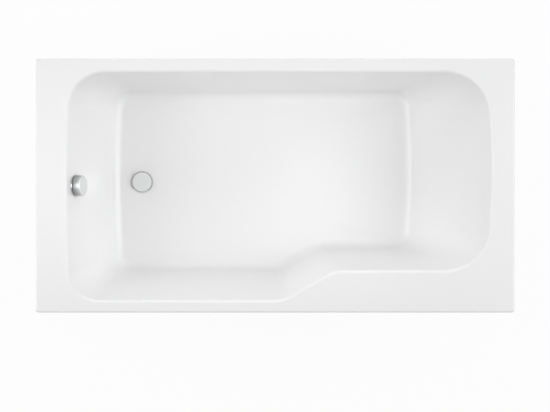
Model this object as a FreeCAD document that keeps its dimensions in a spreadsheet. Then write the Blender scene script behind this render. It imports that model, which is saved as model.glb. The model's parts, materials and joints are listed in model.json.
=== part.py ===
"""Shower bath: an acrylic bath with a wide showering end and a narrower reclining end.

The moulded shell stands on two steel cradle bars with screw-adjusted feet and a middle foot.
A cable-worked pop-up waste, its trap and the overflow with its turning knob are fitted to it.
Millimetres. Origin on the ground under the middle of the rim, +X towards the backrest, +Z up.
"""

import FreeCAD, Part
import math
import os
import Sketcher

Vector = FreeCAD.Vector

# Driving sizes: name, value, meaning. Angles are in degrees.
SIZES = (
    ("bath_length", 1700, "rim, end to end"),
    ("bath_width", 900, "rim, front to back"),
    ("rim_height", 580, "rim top above the ground, feet screwed in"),
    ("rim_thickness", 8, "flat rim"),
    ("skirt_height", 40, "turned-down outer edge of the rim"),
    ("skirt_thickness", 6, "turned-down outer edge of the rim"),
    ("rim_corner_radius", 10, "outer corners of the rim in plan"),
    ("rim_edge_radius", 5, "outer top edge of the rim"),
    ("basin_edge_radius", 12, "rounded edge where the rim turns into the basin"),
    ("wall_thickness", 8, "basin wall and floor, acrylic with its glass fibre backing"),
    ("basin_depth", 413, "rim top to floor at mid length"),
    ("floor_fall", 0.7, "slope of the floor down to the waste"),
    ("floor_radius", 40, "rounding between the walls and the floor"),
    ("rim_back_width", 47, "flat rim along the back"),
    ("rim_front_width", 43, "flat rim along the front of the showering end"),
    ("rim_ledge_width", 150, "flat ledge along the front of the reclining end"),
    ("rim_left_width", 118, "flat rim at the waste end, beside its corners"),
    ("rim_right_width", 88, "flat rim at the backrest end, beside its corners"),
    ("rim_back_left_radius", 135, "back corner of the opening at the waste end"),
    ("rim_front_left_radius", 106, "front corner of the opening at the waste end"),
    ("rim_right_radius", 160, "corners of the opening at the backrest end"),
    ("rim_step_x", 121, "middle of the curved step in the opening"),
    ("rim_step_radius", 120, "the two arcs of the step in the opening"),
    ("back_wall_run", 53, "how far the back wall leans in from rim to floor"),
    ("front_wall_run", 96, "the same at the front of the showering end"),
    ("ledge_wall_run", 69, "the same below the ledge"),
    ("left_wall_run", 130, "the same at the waste end"),
    ("backrest_run", 262, "the same at the backrest"),
    ("floor_left_radius", 66, "corners of the floor at the waste end"),
    ("floor_right_radius", 52, "corners of the floor at the backrest end"),
    ("floor_step_x", 98, "middle of the curved step in the floor"),
    ("floor_step_radius", 70, "the two arcs of the step in the floor"),
    ("left_bow", 3, "half the turn of the bowed waste end"),
    ("right_bow", 5, "half the turn of the bowed backrest end"),
    ("step_turn", 30, "slant of the curved step against the front"),
    ("waste_inset", 98, "waste centre from the foot of the waste-end wall"),
    ("waste_y", 14, "waste centre"),
    ("waste_hole_radius", 26, "outlet hole in the floor"),
    ("waste_recess", 2, "depth of the level seat around the outlet"),
    ("waste_recess_radius", 39.5, "level seat around the outlet"),
    ("waste_boss", 10, "thickness of the level seat"),
    ("overflow_drop", 70, "overflow centre below the rim"),
    ("overflow_y", 0, "overflow centre"),
    ("overflow_hole_radius", 26, "overflow hole in the end wall"),
    ("overflow_recess", 0.8, "depth of the flat seat around the overflow"),
    ("overflow_recess_radius", 37, "flat seat around the overflow"),
    ("overflow_boss", 10, "thickness of the flat seat"),
    ("seal_thickness", 3, "rubber seals behind the wall and under the floor"),
    ("flange_seal_thickness", 1.5, "thin seal under the waste flange"),
    ("flange_radius", 35, "waste flange and overflow rosette"),
    ("flange_thickness", 2.5, "waste flange and overflow rosette"),
    ("neck_wall", 3, "threaded necks of the flange and the rosette"),
    ("bridge_width", 6, "bar across the necks"),
    ("bridge_height", 4, "bar across the necks"),
    ("hub_radius", 7, "hub in the middle of the bars"),
    ("hub_height", 14, "hub in the middle of the bars"),
    ("hub_drop", 2, "hub of the waste flange below the seat"),
    ("neck_engagement", 12, "necks screwed into the bodies"),
    ("fit_gap", 0.3, "clearance between pieces that fit together"),
    ("thread_gap", 0.15, "clearance of the screwed rods and pins"),
    ("edge_chamfer", 1, "small chamfers and end clearances"),
    ("plug_radius", 38, "pop-up plug"),
    ("plug_thickness", 5, "pop-up plug"),
    ("plug_dome", 2, "rounded edge of the plug"),
    ("plug_seat_gap", 0.2, "closed plug's seal above the flange"),
    ("plug_seal_height", 3, "seal under the plug"),
    ("plug_seal_radius", 32, "seal under the plug"),
    ("plug_seal_width", 5, "seal under the plug"),
    ("stem_radius", 3, "plug stem"),
    ("stem_reach", 36, "plug stem below the waste seat"),
    ("plug_lift", 12, "travel of the plug"),
    ("lever_arm", 26, "lift lever, pivot to tip"),
    ("lever_radius", 3, "half the thickness of the lift lever"),
    ("lever_width", 6, "lift lever"),
    ("pin_radius", 2, "pivot pin of the lift lever"),
    ("waste_cup_radius", 36, "waste body"),
    ("waste_cup_height", 44, "waste body"),
    ("waste_wall", 3.5, "waste body and overflow body"),
    ("waste_cone", 10, "tapered foot of the waste body"),
    ("outlet_radius", 20, "outlet pipes, outside"),
    ("pipe_wall", 3, "outlet pipes"),
    ("outlet_neck", 34, "outlet neck of the waste body"),
    ("hose_bore", 16, "overflow hose, inside"),
    ("hose_wall", 1.8, "overflow hose"),
    ("hose_rib", 1.7, "height of the ribs of the hose"),
    ("hose_pitch", 10, "distance between ribs of the hose"),
    ("hose_cuff", 24, "plain ends of the hose"),
    ("hose_bend", 58, "bend of the hose below the wall"),
    ("spigot_length", 28, "hose spigots"),
    ("spigot_wall", 2.5, "hose spigots"),
    ("spigot_level", 39, "axis of the waste's hose spigot below the seat"),
    ("clamp_width", 10, "hose clamps"),
    ("clamp_thickness", 1.2, "hose clamps"),
    ("overflow_cup_radius", 30, "overflow body"),
    ("overflow_cup_depth", 36, "overflow body"),
    ("overflow_flange_radius", 36, "overflow body and its seal"),
    ("knob_radius", 36, "overflow knob"),
    ("knob_height", 28, "overflow knob"),
    ("knob_wall", 3, "overflow knob"),
    ("knob_gap", 6, "water gap between the knob and the wall"),
    ("knob_notch", 30, "width of the water notch in the knob's skirt"),
    ("knob_edge_radius", 2.5, "rounded front edge of the knob"),
    ("spindle_radius", 4, "knob spindle"),
    ("cam_radius", 13, "cable drum on the spindle"),
    ("cam_thickness", 6, "cable drum on the spindle"),
    ("cable_radius", 2.5, "sheath of the control cable"),
    ("cable_offset", 25, "control cable beside the hose"),
    ("ferrule_radius", 5, "cable sockets of the two bodies"),
    ("ferrule_length", 16, "cable sockets of the two bodies"),
    ("clip_width", 8, "clips that tie the cable to the hose"),
    ("clip_wall", 1.5, "clips that tie the cable to the hose"),
    ("trap_bend", 36, "bends of the trap"),
    ("trap_rise", 10, "straight rise between the bends of the trap"),
    ("trap_socket_wall", 4, "sockets of the trap"),
    ("trap_socket", 18, "depth of the sockets of the trap"),
    ("trap_nut_height", 20, "union nuts of the trap"),
    ("trap_nut_wall", 4, "union nuts of the trap"),
    ("trap_tail", 66, "straight tail pipe that the drain pipe slides on"),
    ("washer_height", 4, "tapered washers of the trap"),
    ("board_thickness", 18, "base board at its thin end"),
    ("board_margin", 45, "base board inside the edge of the floor"),
    ("board_waste_gap", 74, "base board to the waste centre"),
    ("cradle_left_inset", 272, "cradle bar near the waste, from that end of the floor"),
    ("cradle_right_inset", 170, "cradle bar near the backrest, from that end of the floor"),
    ("cradle_width", 40, "cradle bar"),
    ("cradle_height", 25, "cradle bar"),
    ("cradle_sheet", 2, "steel of the cradle bars"),
    ("cradle_overhang", 24, "cradle bar past its foot"),
    ("foot_outset", 27, "foot outside the edge of the floor"),
    ("rod_radius", 6, "screwed foot rods"),
    ("rod_above_nut", 32, "foot rod standing out above its nut"),
    ("nut_flats", 19, "hexagon nuts"),
    ("nut_height", 9, "hexagon nuts"),
    ("pad_radius", 28, "foot pads"),
    ("pad_height", 24, "foot pads"),
    ("pad_floor", 10, "foot pad below the rod"),
    ("pad_wall", 6, "foot pads"),
    ("middle_foot_x", 0, "middle foot"),
    ("middle_foot_y", 60, "middle foot"),
    ("middle_plate_radius", 40, "plate of the middle foot"),
    ("middle_plate", 3, "plate of the middle foot"),
    ("middle_sleeve_radius", 10, "sleeve of the middle foot"),
    ("sleeve_above_pad", 52, "sleeve of the middle foot above its pad"),
    ("screw_radius", 2.4, "wood screws"),
    ("screw_length", 14, "wood screws in the board"),
    ("screw_head_radius", 5, "wood screws"),
    ("screw_head_height", 3, "wood screws"),
    ("screw_inset", 90, "cradle screws inside the edge of the board"),
    ("screw_circle", 28, "middle foot's screws from its axis"),
    ("batten_height", 22, "wood battens under the rim"),
    ("batten_gap", 3, "battens to the skirt and to the basin wall"),
    ("batten_inset", 240, "battens from the ends of the bath"),
    ("ledge_batten_width", 60, "batten under the ledge"),
    ("batten_step_gap", 160, "battens from the middle of the step"),
)

doc = FreeCAD.newDocument("shower_bath")
sheet = doc.addObject("Spreadsheet::Sheet", "Sizes")
for row, (alias, value, meaning) in enumerate(SIZES, start=1):
    sheet.set(f"A{row}", str(value))
    sheet.setAlias(f"A{row}", alias)
    sheet.set(f"B{row}", meaning)
doc.recompute()

# Places worked out from the driving sizes, as expressions
RIM_Z = "Sizes.rim_height"
BACK_Y = "(Sizes.bath_width / 2 - Sizes.rim_back_width)"
FRONT_Y = "(Sizes.rim_front_width - Sizes.bath_width / 2)"
LEDGE_Y = "(Sizes.rim_ledge_width - Sizes.bath_width / 2)"
LEFT_X = "(Sizes.rim_left_width - Sizes.bath_length / 2)"
RIGHT_X = "(Sizes.bath_length / 2 - Sizes.rim_right_width)"
FLOOR_BACK_Y = f"({BACK_Y} - Sizes.back_wall_run)"
FLOOR_FRONT_Y = f"({FRONT_Y} + Sizes.front_wall_run)"
FLOOR_LEDGE_Y = f"({LEDGE_Y} + Sizes.ledge_wall_run)"
FLOOR_LEFT_X = f"({LEFT_X} + Sizes.left_wall_run)"
FLOOR_RIGHT_X = f"({RIGHT_X} - Sizes.backrest_run)"
FLOOR_Z = "(Sizes.rim_height - Sizes.basin_depth)"
FLOOR_UNDER_Z = f"({FLOOR_Z} - Sizes.wall_thickness)"
WASTE_X = f"({FLOOR_LEFT_X} + Sizes.waste_inset)"
SEAT_Z = f"({FLOOR_Z} + {WASTE_X} * tan(Sizes.floor_fall) - Sizes.waste_recess)"
BOARD_LEFT_X = f"({WASTE_X} + Sizes.board_waste_gap)"
BOARD_UNDER_Z = f"({FLOOR_UNDER_Z} + {BOARD_LEFT_X} * tan(Sizes.floor_fall) - Sizes.board_thickness)"
RIM_UNDER_Z = "(Sizes.rim_height - Sizes.rim_thickness)"
FOOT_BACK_Y = f"({FLOOR_BACK_Y} + Sizes.foot_outset)"
FOOT_FRONT_Y = f"({FLOOR_FRONT_Y} - Sizes.foot_outset)"
FOOT_LEDGE_Y = f"({FLOOR_LEDGE_Y} - Sizes.foot_outset)"


def bow_rise(back, front, radii):
    """How far the bowed waste end stands out past the ends of its bow."""
    chord = f"({back} - {front} - ({radii[0]} + {radii[1]}) * (1 - sin(Sizes.left_bow)))"
    return f"({chord} / 2 * tan(Sizes.left_bow / 2))"


# Corners of the basin: back left, front left, right, and the arcs of the step
RIM_RADII = ("Sizes.rim_back_left_radius", "Sizes.rim_front_left_radius", "Sizes.rim_right_radius",
             "Sizes.rim_step_radius")
FLOOR_RADII = ("Sizes.floor_left_radius", "Sizes.floor_left_radius", "Sizes.floor_right_radius",
               "Sizes.floor_step_radius")


WALL_TOP_X = f"({LEFT_X} - {bow_rise(BACK_Y, FRONT_Y, RIM_RADII)})"
WALL_FOOT_X = f"({FLOOR_LEFT_X} - {bow_rise(FLOOR_BACK_Y, FLOOR_FRONT_Y, FLOOR_RADII)})"
WALL_DROP = f"(Sizes.basin_depth - {WALL_FOOT_X} * tan(Sizes.floor_fall))"
OVERFLOW_X = f"({WALL_TOP_X} + ({WALL_FOOT_X} - {WALL_TOP_X}) * Sizes.overflow_drop / {WALL_DROP})"
OVERFLOW_Z = "(Sizes.rim_height - Sizes.overflow_drop)"
OVERFLOW_TURN = f"(90 deg - atan(({WALL_FOOT_X} - {WALL_TOP_X}) / {WALL_DROP}))"


def number(expression):
    """The value of an expression of the sheet."""
    found = sheet.evalExpression(expression)
    return float(getattr(found, "Value", found))


parts = {}


def keep(label, thing):
    """Names a finished sub-part."""
    thing.Label = label
    parts[label] = thing
    return thing


def new_body(label, several=False):
    body = doc.addObject("PartDesign::Body", label)
    body.AllowCompound = several
    return keep(label, body)


def place(thing, x="0", y="0", z="0", axis=Vector(0, 0, 1), turn=None):
    """Sets where a sub-part stands, bound to the sheet."""
    thing.Placement = FreeCAD.Placement(Vector(), FreeCAD.Rotation(axis, 10 if turn else 0))
    for name, expression in (("x", x), ("y", y), ("z", z)):
        thing.setExpression(f"Placement.Base.{name}", expression)
    if turn:
        thing.setExpression("Placement.Rotation.Angle", turn)


def new_sketch(body, name, plane, rise="0", tilt=None):
    """A sketch on one of the body's own planes, raised along its normal and tilted about its second axis."""
    sketch = body.newObject("Sketcher::SketchObject", f"{body.Name}_{name}")
    support = next(f for f in body.Origin.OriginFeatures if f.Role == plane)
    sketch.AttachmentSupport = [(support, "")]
    sketch.MapMode = "FlatFace"
    first_turn = FreeCAD.Rotation(Vector(0, 1, 0), 10 if tilt else 0)
    sketch.AttachmentOffset = FreeCAD.Placement(Vector(), first_turn)
    sketch.setExpression("AttachmentOffset.Base.z", rise)
    if tilt:
        sketch.setExpression("AttachmentOffset.Rotation.Angle", tilt)
    return sketch


def bind(sketch, constraint, expression):
    index = sketch.addConstraint(constraint)
    sketch.setExpression(f"Constraints[{index}]", expression)


def bind_point(sketch, geometry, point, x, y):
    """Holds a point of the sketch at a place given by two expressions."""
    bind(sketch, Sketcher.Constraint("DistanceX", -1, 1, geometry, point, number(x)), x)
    bind(sketch, Sketcher.Constraint("DistanceY", -1, 1, geometry, point, number(y)), y)


def draw_polygon(sketch, corners):
    """A closed outline of straight edges; each corner is a pair of expressions."""
    first = sketch.GeometryCount
    spots = [Vector(number(x), number(y), 0) for x, y in corners]
    count = len(corners)
    for index in range(count):
        sketch.addGeometry(Part.LineSegment(spots[index], spots[(index + 1) % count]), False)
    for index, (x, y) in enumerate(corners):
        after = first + (index + 1) % count
        sketch.addConstraint(Sketcher.Constraint("Coincident", first + index, 2, after, 1))
        bind_point(sketch, first + index, 1, x, y)


def draw_box(sketch, left, right, low, high):
    draw_polygon(sketch, [(left, low), (right, low), (right, high), (left, high)])


def draw_circle(sketch, radius, x="0", y="0"):
    circle = Part.Circle(Vector(number(x), number(y), 0), Vector(0, 0, 1), number(radius))
    index = sketch.addGeometry(circle, False)
    bind(sketch, Sketcher.Constraint("Radius", index, number(radius)), radius)
    bind_point(sketch, index, 3, x, y)


def draw_hexagon(sketch, flats, x, y):
    """A hexagon of that width across its flats."""
    reach = f"{flats} / sqrt(3)"
    angles = range(0, 360, 60)
    draw_polygon(sketch, [(f"{x} + {reach} * cos({a})", f"{y} + {reach} * sin({a})") for a in angles])


def add_feature(body, kind, name, sketch, length=None, backwards=False):
    """A pad or pocket of the sketch; with no length a pocket goes right through."""
    feature = body.newObject(f"PartDesign::{kind}", f"{body.Name}_{name}")
    feature.Profile = sketch
    feature.Reversed = backwards
    if length is None:
        feature.Type = "ThroughAll"
    else:
        feature.setExpression("Length", length)
    doc.recompute()
    return feature


def turned(label, corners):
    """A turned piece: its half section, as pairs of radius and height, goes once round the body's Z axis."""
    body = new_body(label)
    sketch = new_sketch(body, "section", "XZ_Plane")
    draw_polygon(sketch, corners)
    turn = body.newObject("PartDesign::Revolution", f"{label}_turn")
    turn.Profile = sketch
    turn.ReferenceAxis = (sketch, ["V_Axis"])
    turn.Angle = 360
    doc.recompute()
    return body


def round_edges(body, base, name, radius, wanted):
    """Rounds the edges of the base feature that the test picks out."""
    names = [f"Edge{n}" for n, edge in enumerate(base.Shape.Edges, start=1) if wanted(edge)]
    fillet = body.newObject("PartDesign::Fillet", f"{body.Name}_{name}")
    fillet.Base = (base, names)
    fillet.setExpression("Radius", radius)
    doc.recompute()
    return fillet


def step_reach(front, ledge, radius):
    """Half the length of the curved step: half of its slanting line and one of its arcs."""
    arc_rise = f"{radius} * (1 - cos(Sizes.step_turn))"
    line_reach = f"(({ledge} - {front}) / 2 - {arc_rise}) / tan(Sizes.step_turn)"
    return f"({line_reach} + {radius} * sin(Sizes.step_turn))"


def draw_basin(sketch, places, radii, step_x, grow="0"):
    """The plan of the basin at one level, anticlockwise from the back: three straight sides, four corners,
    two bowed ends, and the step of two arcs with a slanting line between them. All of it meets tangentially.
    grow moves it outwards."""
    back, front, ledge, left, right = places
    back, right = f"({back} + {grow})", f"({right} + {grow})"
    front, ledge, left = f"({front} - {grow})", f"({ledge} - {grow})", f"({left} - {grow})"
    back_radius, front_radius, right_radius, out_radius = (f"({radius} + {grow})" for radius in radii)
    in_radius = f"({radii[3]} - {grow})"
    step_start = f"({step_x} - {step_reach(front, ledge, radii[3])})"
    step_end = f"({step_x} + {step_reach(front, ledge, radii[3])})"
    b, f, s, l, r = map(number, (back, front, ledge, left, right))
    rb, rf, rr, ro, ri = map(number, (back_radius, front_radius, right_radius, out_radius, in_radius))
    start, end = number(step_start), number(step_end)
    bow_l, bow_r, turn = (math.radians(number(f"Sizes.{n}")) for n in ("left_bow", "right_bow", "step_turn"))
    corner_bx, corner_fx = l + rb * math.cos(bow_l), l + rf * math.cos(bow_l)
    corner_rx = r - rr * math.cos(bow_r)
    slant = Vector(math.sin(turn), -math.cos(turn), 0)
    bow_top, bow_foot = b - rb * (1 - math.sin(bow_l)), f + rf * (1 - math.sin(bow_l))
    bow_lr = (bow_top - bow_foot) / 2 / math.sin(bow_l)
    bow_rr = ((b - s) / 2 - rr * (1 - math.sin(bow_r))) / math.sin(bow_r)
    quarter = math.pi / 2

    def arc(x, y, radius, start, end):
        return Part.ArcOfCircle(Part.Circle(Vector(x, y, 0), Vector(0, 0, 1), radius), start, end)

    outline = (
        Part.LineSegment(Vector(corner_rx, b, 0), Vector(corner_bx, b, 0)),
        arc(corner_bx, b - rb, rb, quarter, 2 * quarter - bow_l),
        arc(l + bow_lr * math.cos(bow_l), (bow_top + bow_foot) / 2, bow_lr,
            2 * quarter - bow_l, 2 * quarter + bow_l),
        arc(corner_fx, f + rf, rf, 2 * quarter + bow_l, 3 * quarter),
        Part.LineSegment(Vector(corner_fx, f, 0), Vector(start, f, 0)),
        arc(start, f + ro, ro, 3 * quarter, 3 * quarter + turn),
        Part.LineSegment(Vector(start, f + ro, 0) + ro * slant, Vector(end, s - ri, 0) - ri * slant),
        arc(end, s - ri, ri, quarter, quarter + turn),
        Part.LineSegment(Vector(end, s, 0), Vector(corner_rx, s, 0)),
        arc(corner_rx, s + rr, rr, 3 * quarter, 4 * quarter - bow_r),
        arc(r - bow_rr * math.cos(bow_r), (b + s) / 2, bow_rr, -bow_r, bow_r),
        arc(corner_rx, b - rr, rr, bow_r, quarter),
    )
    (back_line, corner_bl, bow_left, corner_fl, front_line, step_out, _, step_in, ledge_line,
     corner_fr, bow_right, corner_br) = range(len(outline))
    for piece in outline:
        sketch.addGeometry(piece, False)
    for index in range(len(outline)):
        after = (index + 1) % len(outline)
        leaves = 1 if index == step_in else 2
        enters = 2 if after == step_in else 1
        sketch.addConstraint(Sketcher.Constraint("Tangent", index, leaves, after, enters))
    for line, level in ((back_line, back), (front_line, front), (ledge_line, ledge)):
        sketch.addConstraint(Sketcher.Constraint("Horizontal", line))
        bind(sketch, Sketcher.Constraint("DistanceY", -1, 1, line, 1, number(level)), level)
    for corner, radius in ((corner_bl, back_radius), (corner_fl, front_radius), (corner_fr, right_radius),
                           (corner_br, right_radius), (step_out, out_radius), (step_in, in_radius)):
        bind(sketch, Sketcher.Constraint("Radius", corner, number(radius)), radius)
    for bow, end, half_turn in ((bow_left, left, "Sizes.left_bow"), (bow_right, right, "Sizes.right_bow")):
        sketch.addConstraint(Sketcher.Constraint("Vertical", bow, 1, bow, 2))
        bind(sketch, Sketcher.Constraint("DistanceX", -1, 1, bow, 1, number(end)), end)
        full_turn = f"2 * {half_turn}"
        bind(sketch, Sketcher.Constraint("Angle", bow, math.radians(number(full_turn))), full_turn)
    bind(sketch, Sketcher.Constraint("Angle", step_out, turn), "Sizes.step_turn")
    bind(sketch, Sketcher.Constraint("DistanceX", -1, 1, step_out, 1, start), step_start)


RIM_PLAN = (BACK_Y, FRONT_Y, LEDGE_Y, LEFT_X, RIGHT_X)
FLOOR_PLAN = (FLOOR_BACK_Y, FLOOR_FRONT_Y, FLOOR_LEDGE_Y, FLOOR_LEFT_X, FLOOR_RIGHT_X)
FALL = "-Sizes.floor_fall"


def add_basin(body, kind, name, floor_rise, grow):
    """The tapered basin between the plan at the rim and the plan at the sloping floor."""
    top = new_sketch(body, f"{name}_rim", "XY_Plane", RIM_Z)
    draw_basin(top, RIM_PLAN, RIM_RADII, "Sizes.rim_step_x", grow)
    floor = new_sketch(body, f"{name}_floor", "XY_Plane", floor_rise, FALL)
    draw_basin(floor, FLOOR_PLAN, FLOOR_RADII, "Sizes.floor_step_x", grow)
    loft = body.newObject(f"PartDesign::{kind}", f"{body.Name}_{name}")
    loft.Profile = top
    loft.Sections = [floor]
    loft.Ruled = True
    doc.recompute()
    return loft


def make_bath_shell():
    """One moulding: the flat rim with its turned-down skirt, and the basin with seats for the fittings."""
    body = new_body("bath_shell")
    half_x, half_y = "Sizes.bath_length / 2", "Sizes.bath_width / 2"
    rim = new_sketch(body, "rim_plan", "XY_Plane", RIM_Z)
    draw_box(rim, f"-{half_x}", half_x, f"-{half_y}", half_y)
    block = add_feature(body, "Pad", "rim", rim, "Sizes.skirt_height", backwards=True)

    def upright(edge):
        return edge.BoundBox.ZLength > number("Sizes.skirt_height") / 2

    block = round_edges(body, block, "rim_corners", "Sizes.rim_corner_radius", upright)
    hollow = new_sketch(body, "skirt_plan", "XY_Plane", f"{RIM_Z} - Sizes.skirt_height")
    inner_x, inner_y = f"{half_x} - Sizes.skirt_thickness", f"{half_y} - Sizes.skirt_thickness"
    draw_box(hollow, f"-({inner_x})", inner_x, f"-({inner_y})", inner_y)
    add_feature(body, "Pocket", "skirt", hollow, "Sizes.skirt_height - Sizes.rim_thickness", backwards=True)
    add_basin(body, "AdditiveLoft", "outside", FLOOR_UNDER_Z, "Sizes.wall_thickness")
    inside = add_basin(body, "SubtractiveLoft", "inside", FLOOR_Z, "0")
    slope = math.tan(math.radians(number("Sizes.floor_fall")))

    def along(edge, level):
        """Whether an edge runs along the sloping plane of that level."""
        return all(abs(v.Z - v.X * slope - number(level)) < 0.01 for v in edge.Vertexes)

    inside = round_edges(body, inside, "inside_round", "Sizes.floor_radius",
                         lambda edge: along(edge, FLOOR_Z))
    round_edges(body, inside, "outside_round", "Sizes.floor_radius + Sizes.wall_thickness",
                lambda edge: along(edge, FLOOR_UNDER_Z))
    boss = new_sketch(body, "waste_boss", "XY_Plane", f"{SEAT_Z} - Sizes.waste_boss")
    draw_circle(boss, "Sizes.waste_recess_radius + Sizes.wall_thickness", WASTE_X, "Sizes.waste_y")
    add_feature(body, "Pad", "waste_seat", boss, "Sizes.waste_boss")
    seated = add_overflow_feature(body, "Pad", "overflow_seat",
                                  "Sizes.overflow_flange_radius + Sizes.waste_wall",
                                  "-Sizes.overflow_recess - Sizes.overflow_boss", "Sizes.overflow_boss")

    def top_edge(edge):
        return abs(edge.BoundBox.ZMin - number(RIM_Z)) < 0.01

    def outer_edge(edge):
        box = edge.BoundBox
        margin = number("Sizes.rim_corner_radius")
        far_x = max(abs(box.XMin), abs(box.XMax)) > number(half_x) - margin
        far_y = max(abs(box.YMin), abs(box.YMax)) > number(half_y) - margin
        return far_x or far_y

    rounded = round_edges(body, seated, "basin_edge", "Sizes.basin_edge_radius",
                          lambda edge: top_edge(edge) and not outer_edge(edge))
    round_edges(body, rounded, "rim_edge", "Sizes.rim_edge_radius",
                lambda edge: top_edge(edge) and outer_edge(edge))
    seat = new_sketch(body, "waste_recess", "XY_Plane", SEAT_Z)
    draw_circle(seat, "Sizes.waste_recess_radius", WASTE_X, "Sizes.waste_y")
    add_feature(body, "Pocket", "waste_recess_cut", seat, "Sizes.waste_boss", backwards=True)
    hole = new_sketch(body, "waste_hole", "XY_Plane", SEAT_Z)
    draw_circle(hole, "Sizes.waste_hole_radius", WASTE_X, "Sizes.waste_y")
    add_feature(body, "Pocket", "waste_hole_cut", hole, "2 * Sizes.waste_boss")
    add_overflow_feature(body, "Pocket", "overflow_recess_cut", "Sizes.overflow_recess_radius",
                         "-Sizes.overflow_recess", "Sizes.overflow_boss", backwards=True)
    add_overflow_feature(body, "Pocket", "overflow_hole_cut", "Sizes.overflow_hole_radius",
                         "0", "2 * Sizes.overflow_boss")


def add_overflow_feature(body, kind, name, radius, level, length, backwards=False):
    """A round boss, seat or hole square to the waste-end wall; level is measured into the basin."""
    sketch = new_sketch(body, f"{name}_plan", "XY_Plane", "0", OVERFLOW_TURN)
    lean_in, lean_up = f"sin({OVERFLOW_TURN})", f"cos({OVERFLOW_TURN})"
    sketch.setExpression("AttachmentOffset.Base.x", f"{OVERFLOW_X} + ({level}) * {lean_in}")
    sketch.setExpression("AttachmentOffset.Base.y", "Sizes.overflow_y")
    sketch.setExpression("AttachmentOffset.Base.z", f"{OVERFLOW_Z} + ({level}) * {lean_up}")
    draw_circle(sketch, radius)
    return add_feature(body, kind, name, sketch, length, backwards)


# Levels of the fittings, measured from the waste seat, or from the wall into the basin at the overflow
NECK_RADIUS = "(Sizes.waste_hole_radius - Sizes.fit_gap)"
NECK_BORE = f"({NECK_RADIUS} - Sizes.neck_wall)"
FLANGE_TOP = "(Sizes.flange_seal_thickness + Sizes.flange_thickness)"
PLUG_UNDER = f"({FLANGE_TOP} + Sizes.plug_seat_gap + Sizes.plug_seal_height)"
WASTE_TOP = "(-Sizes.waste_boss - Sizes.seal_thickness)"
WASTE_UNDER = f"({WASTE_TOP} - Sizes.waste_cup_height)"
OUTLET_END = f"({WASTE_UNDER} - Sizes.outlet_neck)"
CUP_BORE = "(Sizes.waste_cup_radius - Sizes.waste_wall)"
PIPE_BORE = "(Sizes.outlet_radius - Sizes.pipe_wall)"
LEVER_TURN = "asin(Sizes.plug_lift / 2 / Sizes.lever_arm)"
LEVER_TOP = f"(Sizes.lever_radius / cos({LEVER_TURN}) + Sizes.stem_radius * tan({LEVER_TURN}))"
PIVOT_Z = f"(Sizes.plug_lift / 2 - Sizes.stem_reach - Sizes.fit_gap - {LEVER_TOP})"
OVERFLOW_TOP = "(-Sizes.overflow_recess - Sizes.overflow_boss - Sizes.seal_thickness)"
OVERFLOW_BACK = f"({OVERFLOW_TOP} - Sizes.overflow_cup_depth)"
HOSE_LEVEL = f"({OVERFLOW_TOP} - Sizes.overflow_cup_depth / 2)"
HOSE_SIDE_Y = "(Sizes.overflow_y - Sizes.waste_y)"
SPIGOT_RADIUS = "(Sizes.hose_bore - Sizes.thread_gap)"
SPIGOT_BORE = f"({SPIGOT_RADIUS} - Sizes.spigot_wall)"
HOSE_OUTER = "(Sizes.hose_bore + Sizes.hose_wall)"
HOSE_CREST = f"({HOSE_OUTER} + Sizes.hose_rib)"

# The run of the hose and the cable behind the wall: down along it, round one bend, level to the waste
LEAN = f"(90 deg - {OVERFLOW_TURN})"
RUN_CORNER = (f"(({OVERFLOW_Z} + {HOSE_LEVEL} * sin({LEAN}) - {SEAT_Z} + Sizes.spigot_level) / cos({LEAN}))")
RUN_CORNER_X = f"({OVERFLOW_X} + {HOSE_LEVEL} * cos({LEAN}) + {RUN_CORNER} * sin({LEAN}))"
BEND_TRIM = f"(Sizes.hose_bend * tan({OVERFLOW_TURN} / 2))"
BEND_START = f"({RUN_CORNER} - {BEND_TRIM})"
BEND_END_X = f"({RUN_CORNER_X} + {BEND_TRIM})"
HOSE_START = "(Sizes.overflow_flange_radius + Sizes.fit_gap)"
HOSE_END_X = f"({WASTE_X} - Sizes.waste_cup_radius - Sizes.fit_gap)"
CABLE_START = "(Sizes.overflow_cup_radius + Sizes.ferrule_length / 2)"
CABLE_END_X = f"({WASTE_X} - Sizes.waste_cup_radius - Sizes.ferrule_length / 2)"


def at_waste(thing, rise="0"):
    place(thing, WASTE_X, "Sizes.waste_y", f"{SEAT_Z} + {rise}")


def at_overflow(thing):
    place(thing, OVERFLOW_X, "Sizes.overflow_y", OVERFLOW_Z, Vector(0, 1, 0), OVERFLOW_TURN)


def ring(label, inner, outer, low, high):
    return turned(label, [(inner, low), (outer, low), (outer, high), (inner, high)])


def add_round(body, kind, name, plane, rise, radius, x, y, length, backwards=False):
    """A round boss or hole on one of the body's planes."""
    sketch = new_sketch(body, f"{name}_plan", plane, rise)
    draw_circle(sketch, radius, x, y)
    return add_feature(body, kind, name, sketch, length, backwards)


def add_bridge(body, top):
    """The bar across a neck, with the bored hub in its middle."""
    bar = new_sketch(body, "bar", "XY_Plane", top)
    reach = f"({NECK_BORE} + Sizes.neck_wall / 2)"
    draw_box(bar, f"-{reach}", reach, "-Sizes.bridge_width / 2", "Sizes.bridge_width / 2")
    add_feature(body, "Pad", "bridge", bar, "Sizes.bridge_height", backwards=True)
    add_round(body, "Pad", "hub", "XY_Plane", top, "Sizes.hub_radius", "0", "0", "Sizes.hub_height",
              backwards=True)


def flange_section(low, neck_end):
    """Half section of a flange with a threaded neck."""
    edge = "Sizes.edge_chamfer"
    high = f"({low} + Sizes.flange_thickness)"
    return [(NECK_BORE, neck_end), (NECK_RADIUS, neck_end), (NECK_RADIUS, low), ("Sizes.flange_radius", low),
            ("Sizes.flange_radius", f"{high} - {edge}"), (f"Sizes.flange_radius - {edge}", high),
            (f"{NECK_BORE} + {edge}", high), (NECK_BORE, f"{high} - {edge}")]


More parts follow.
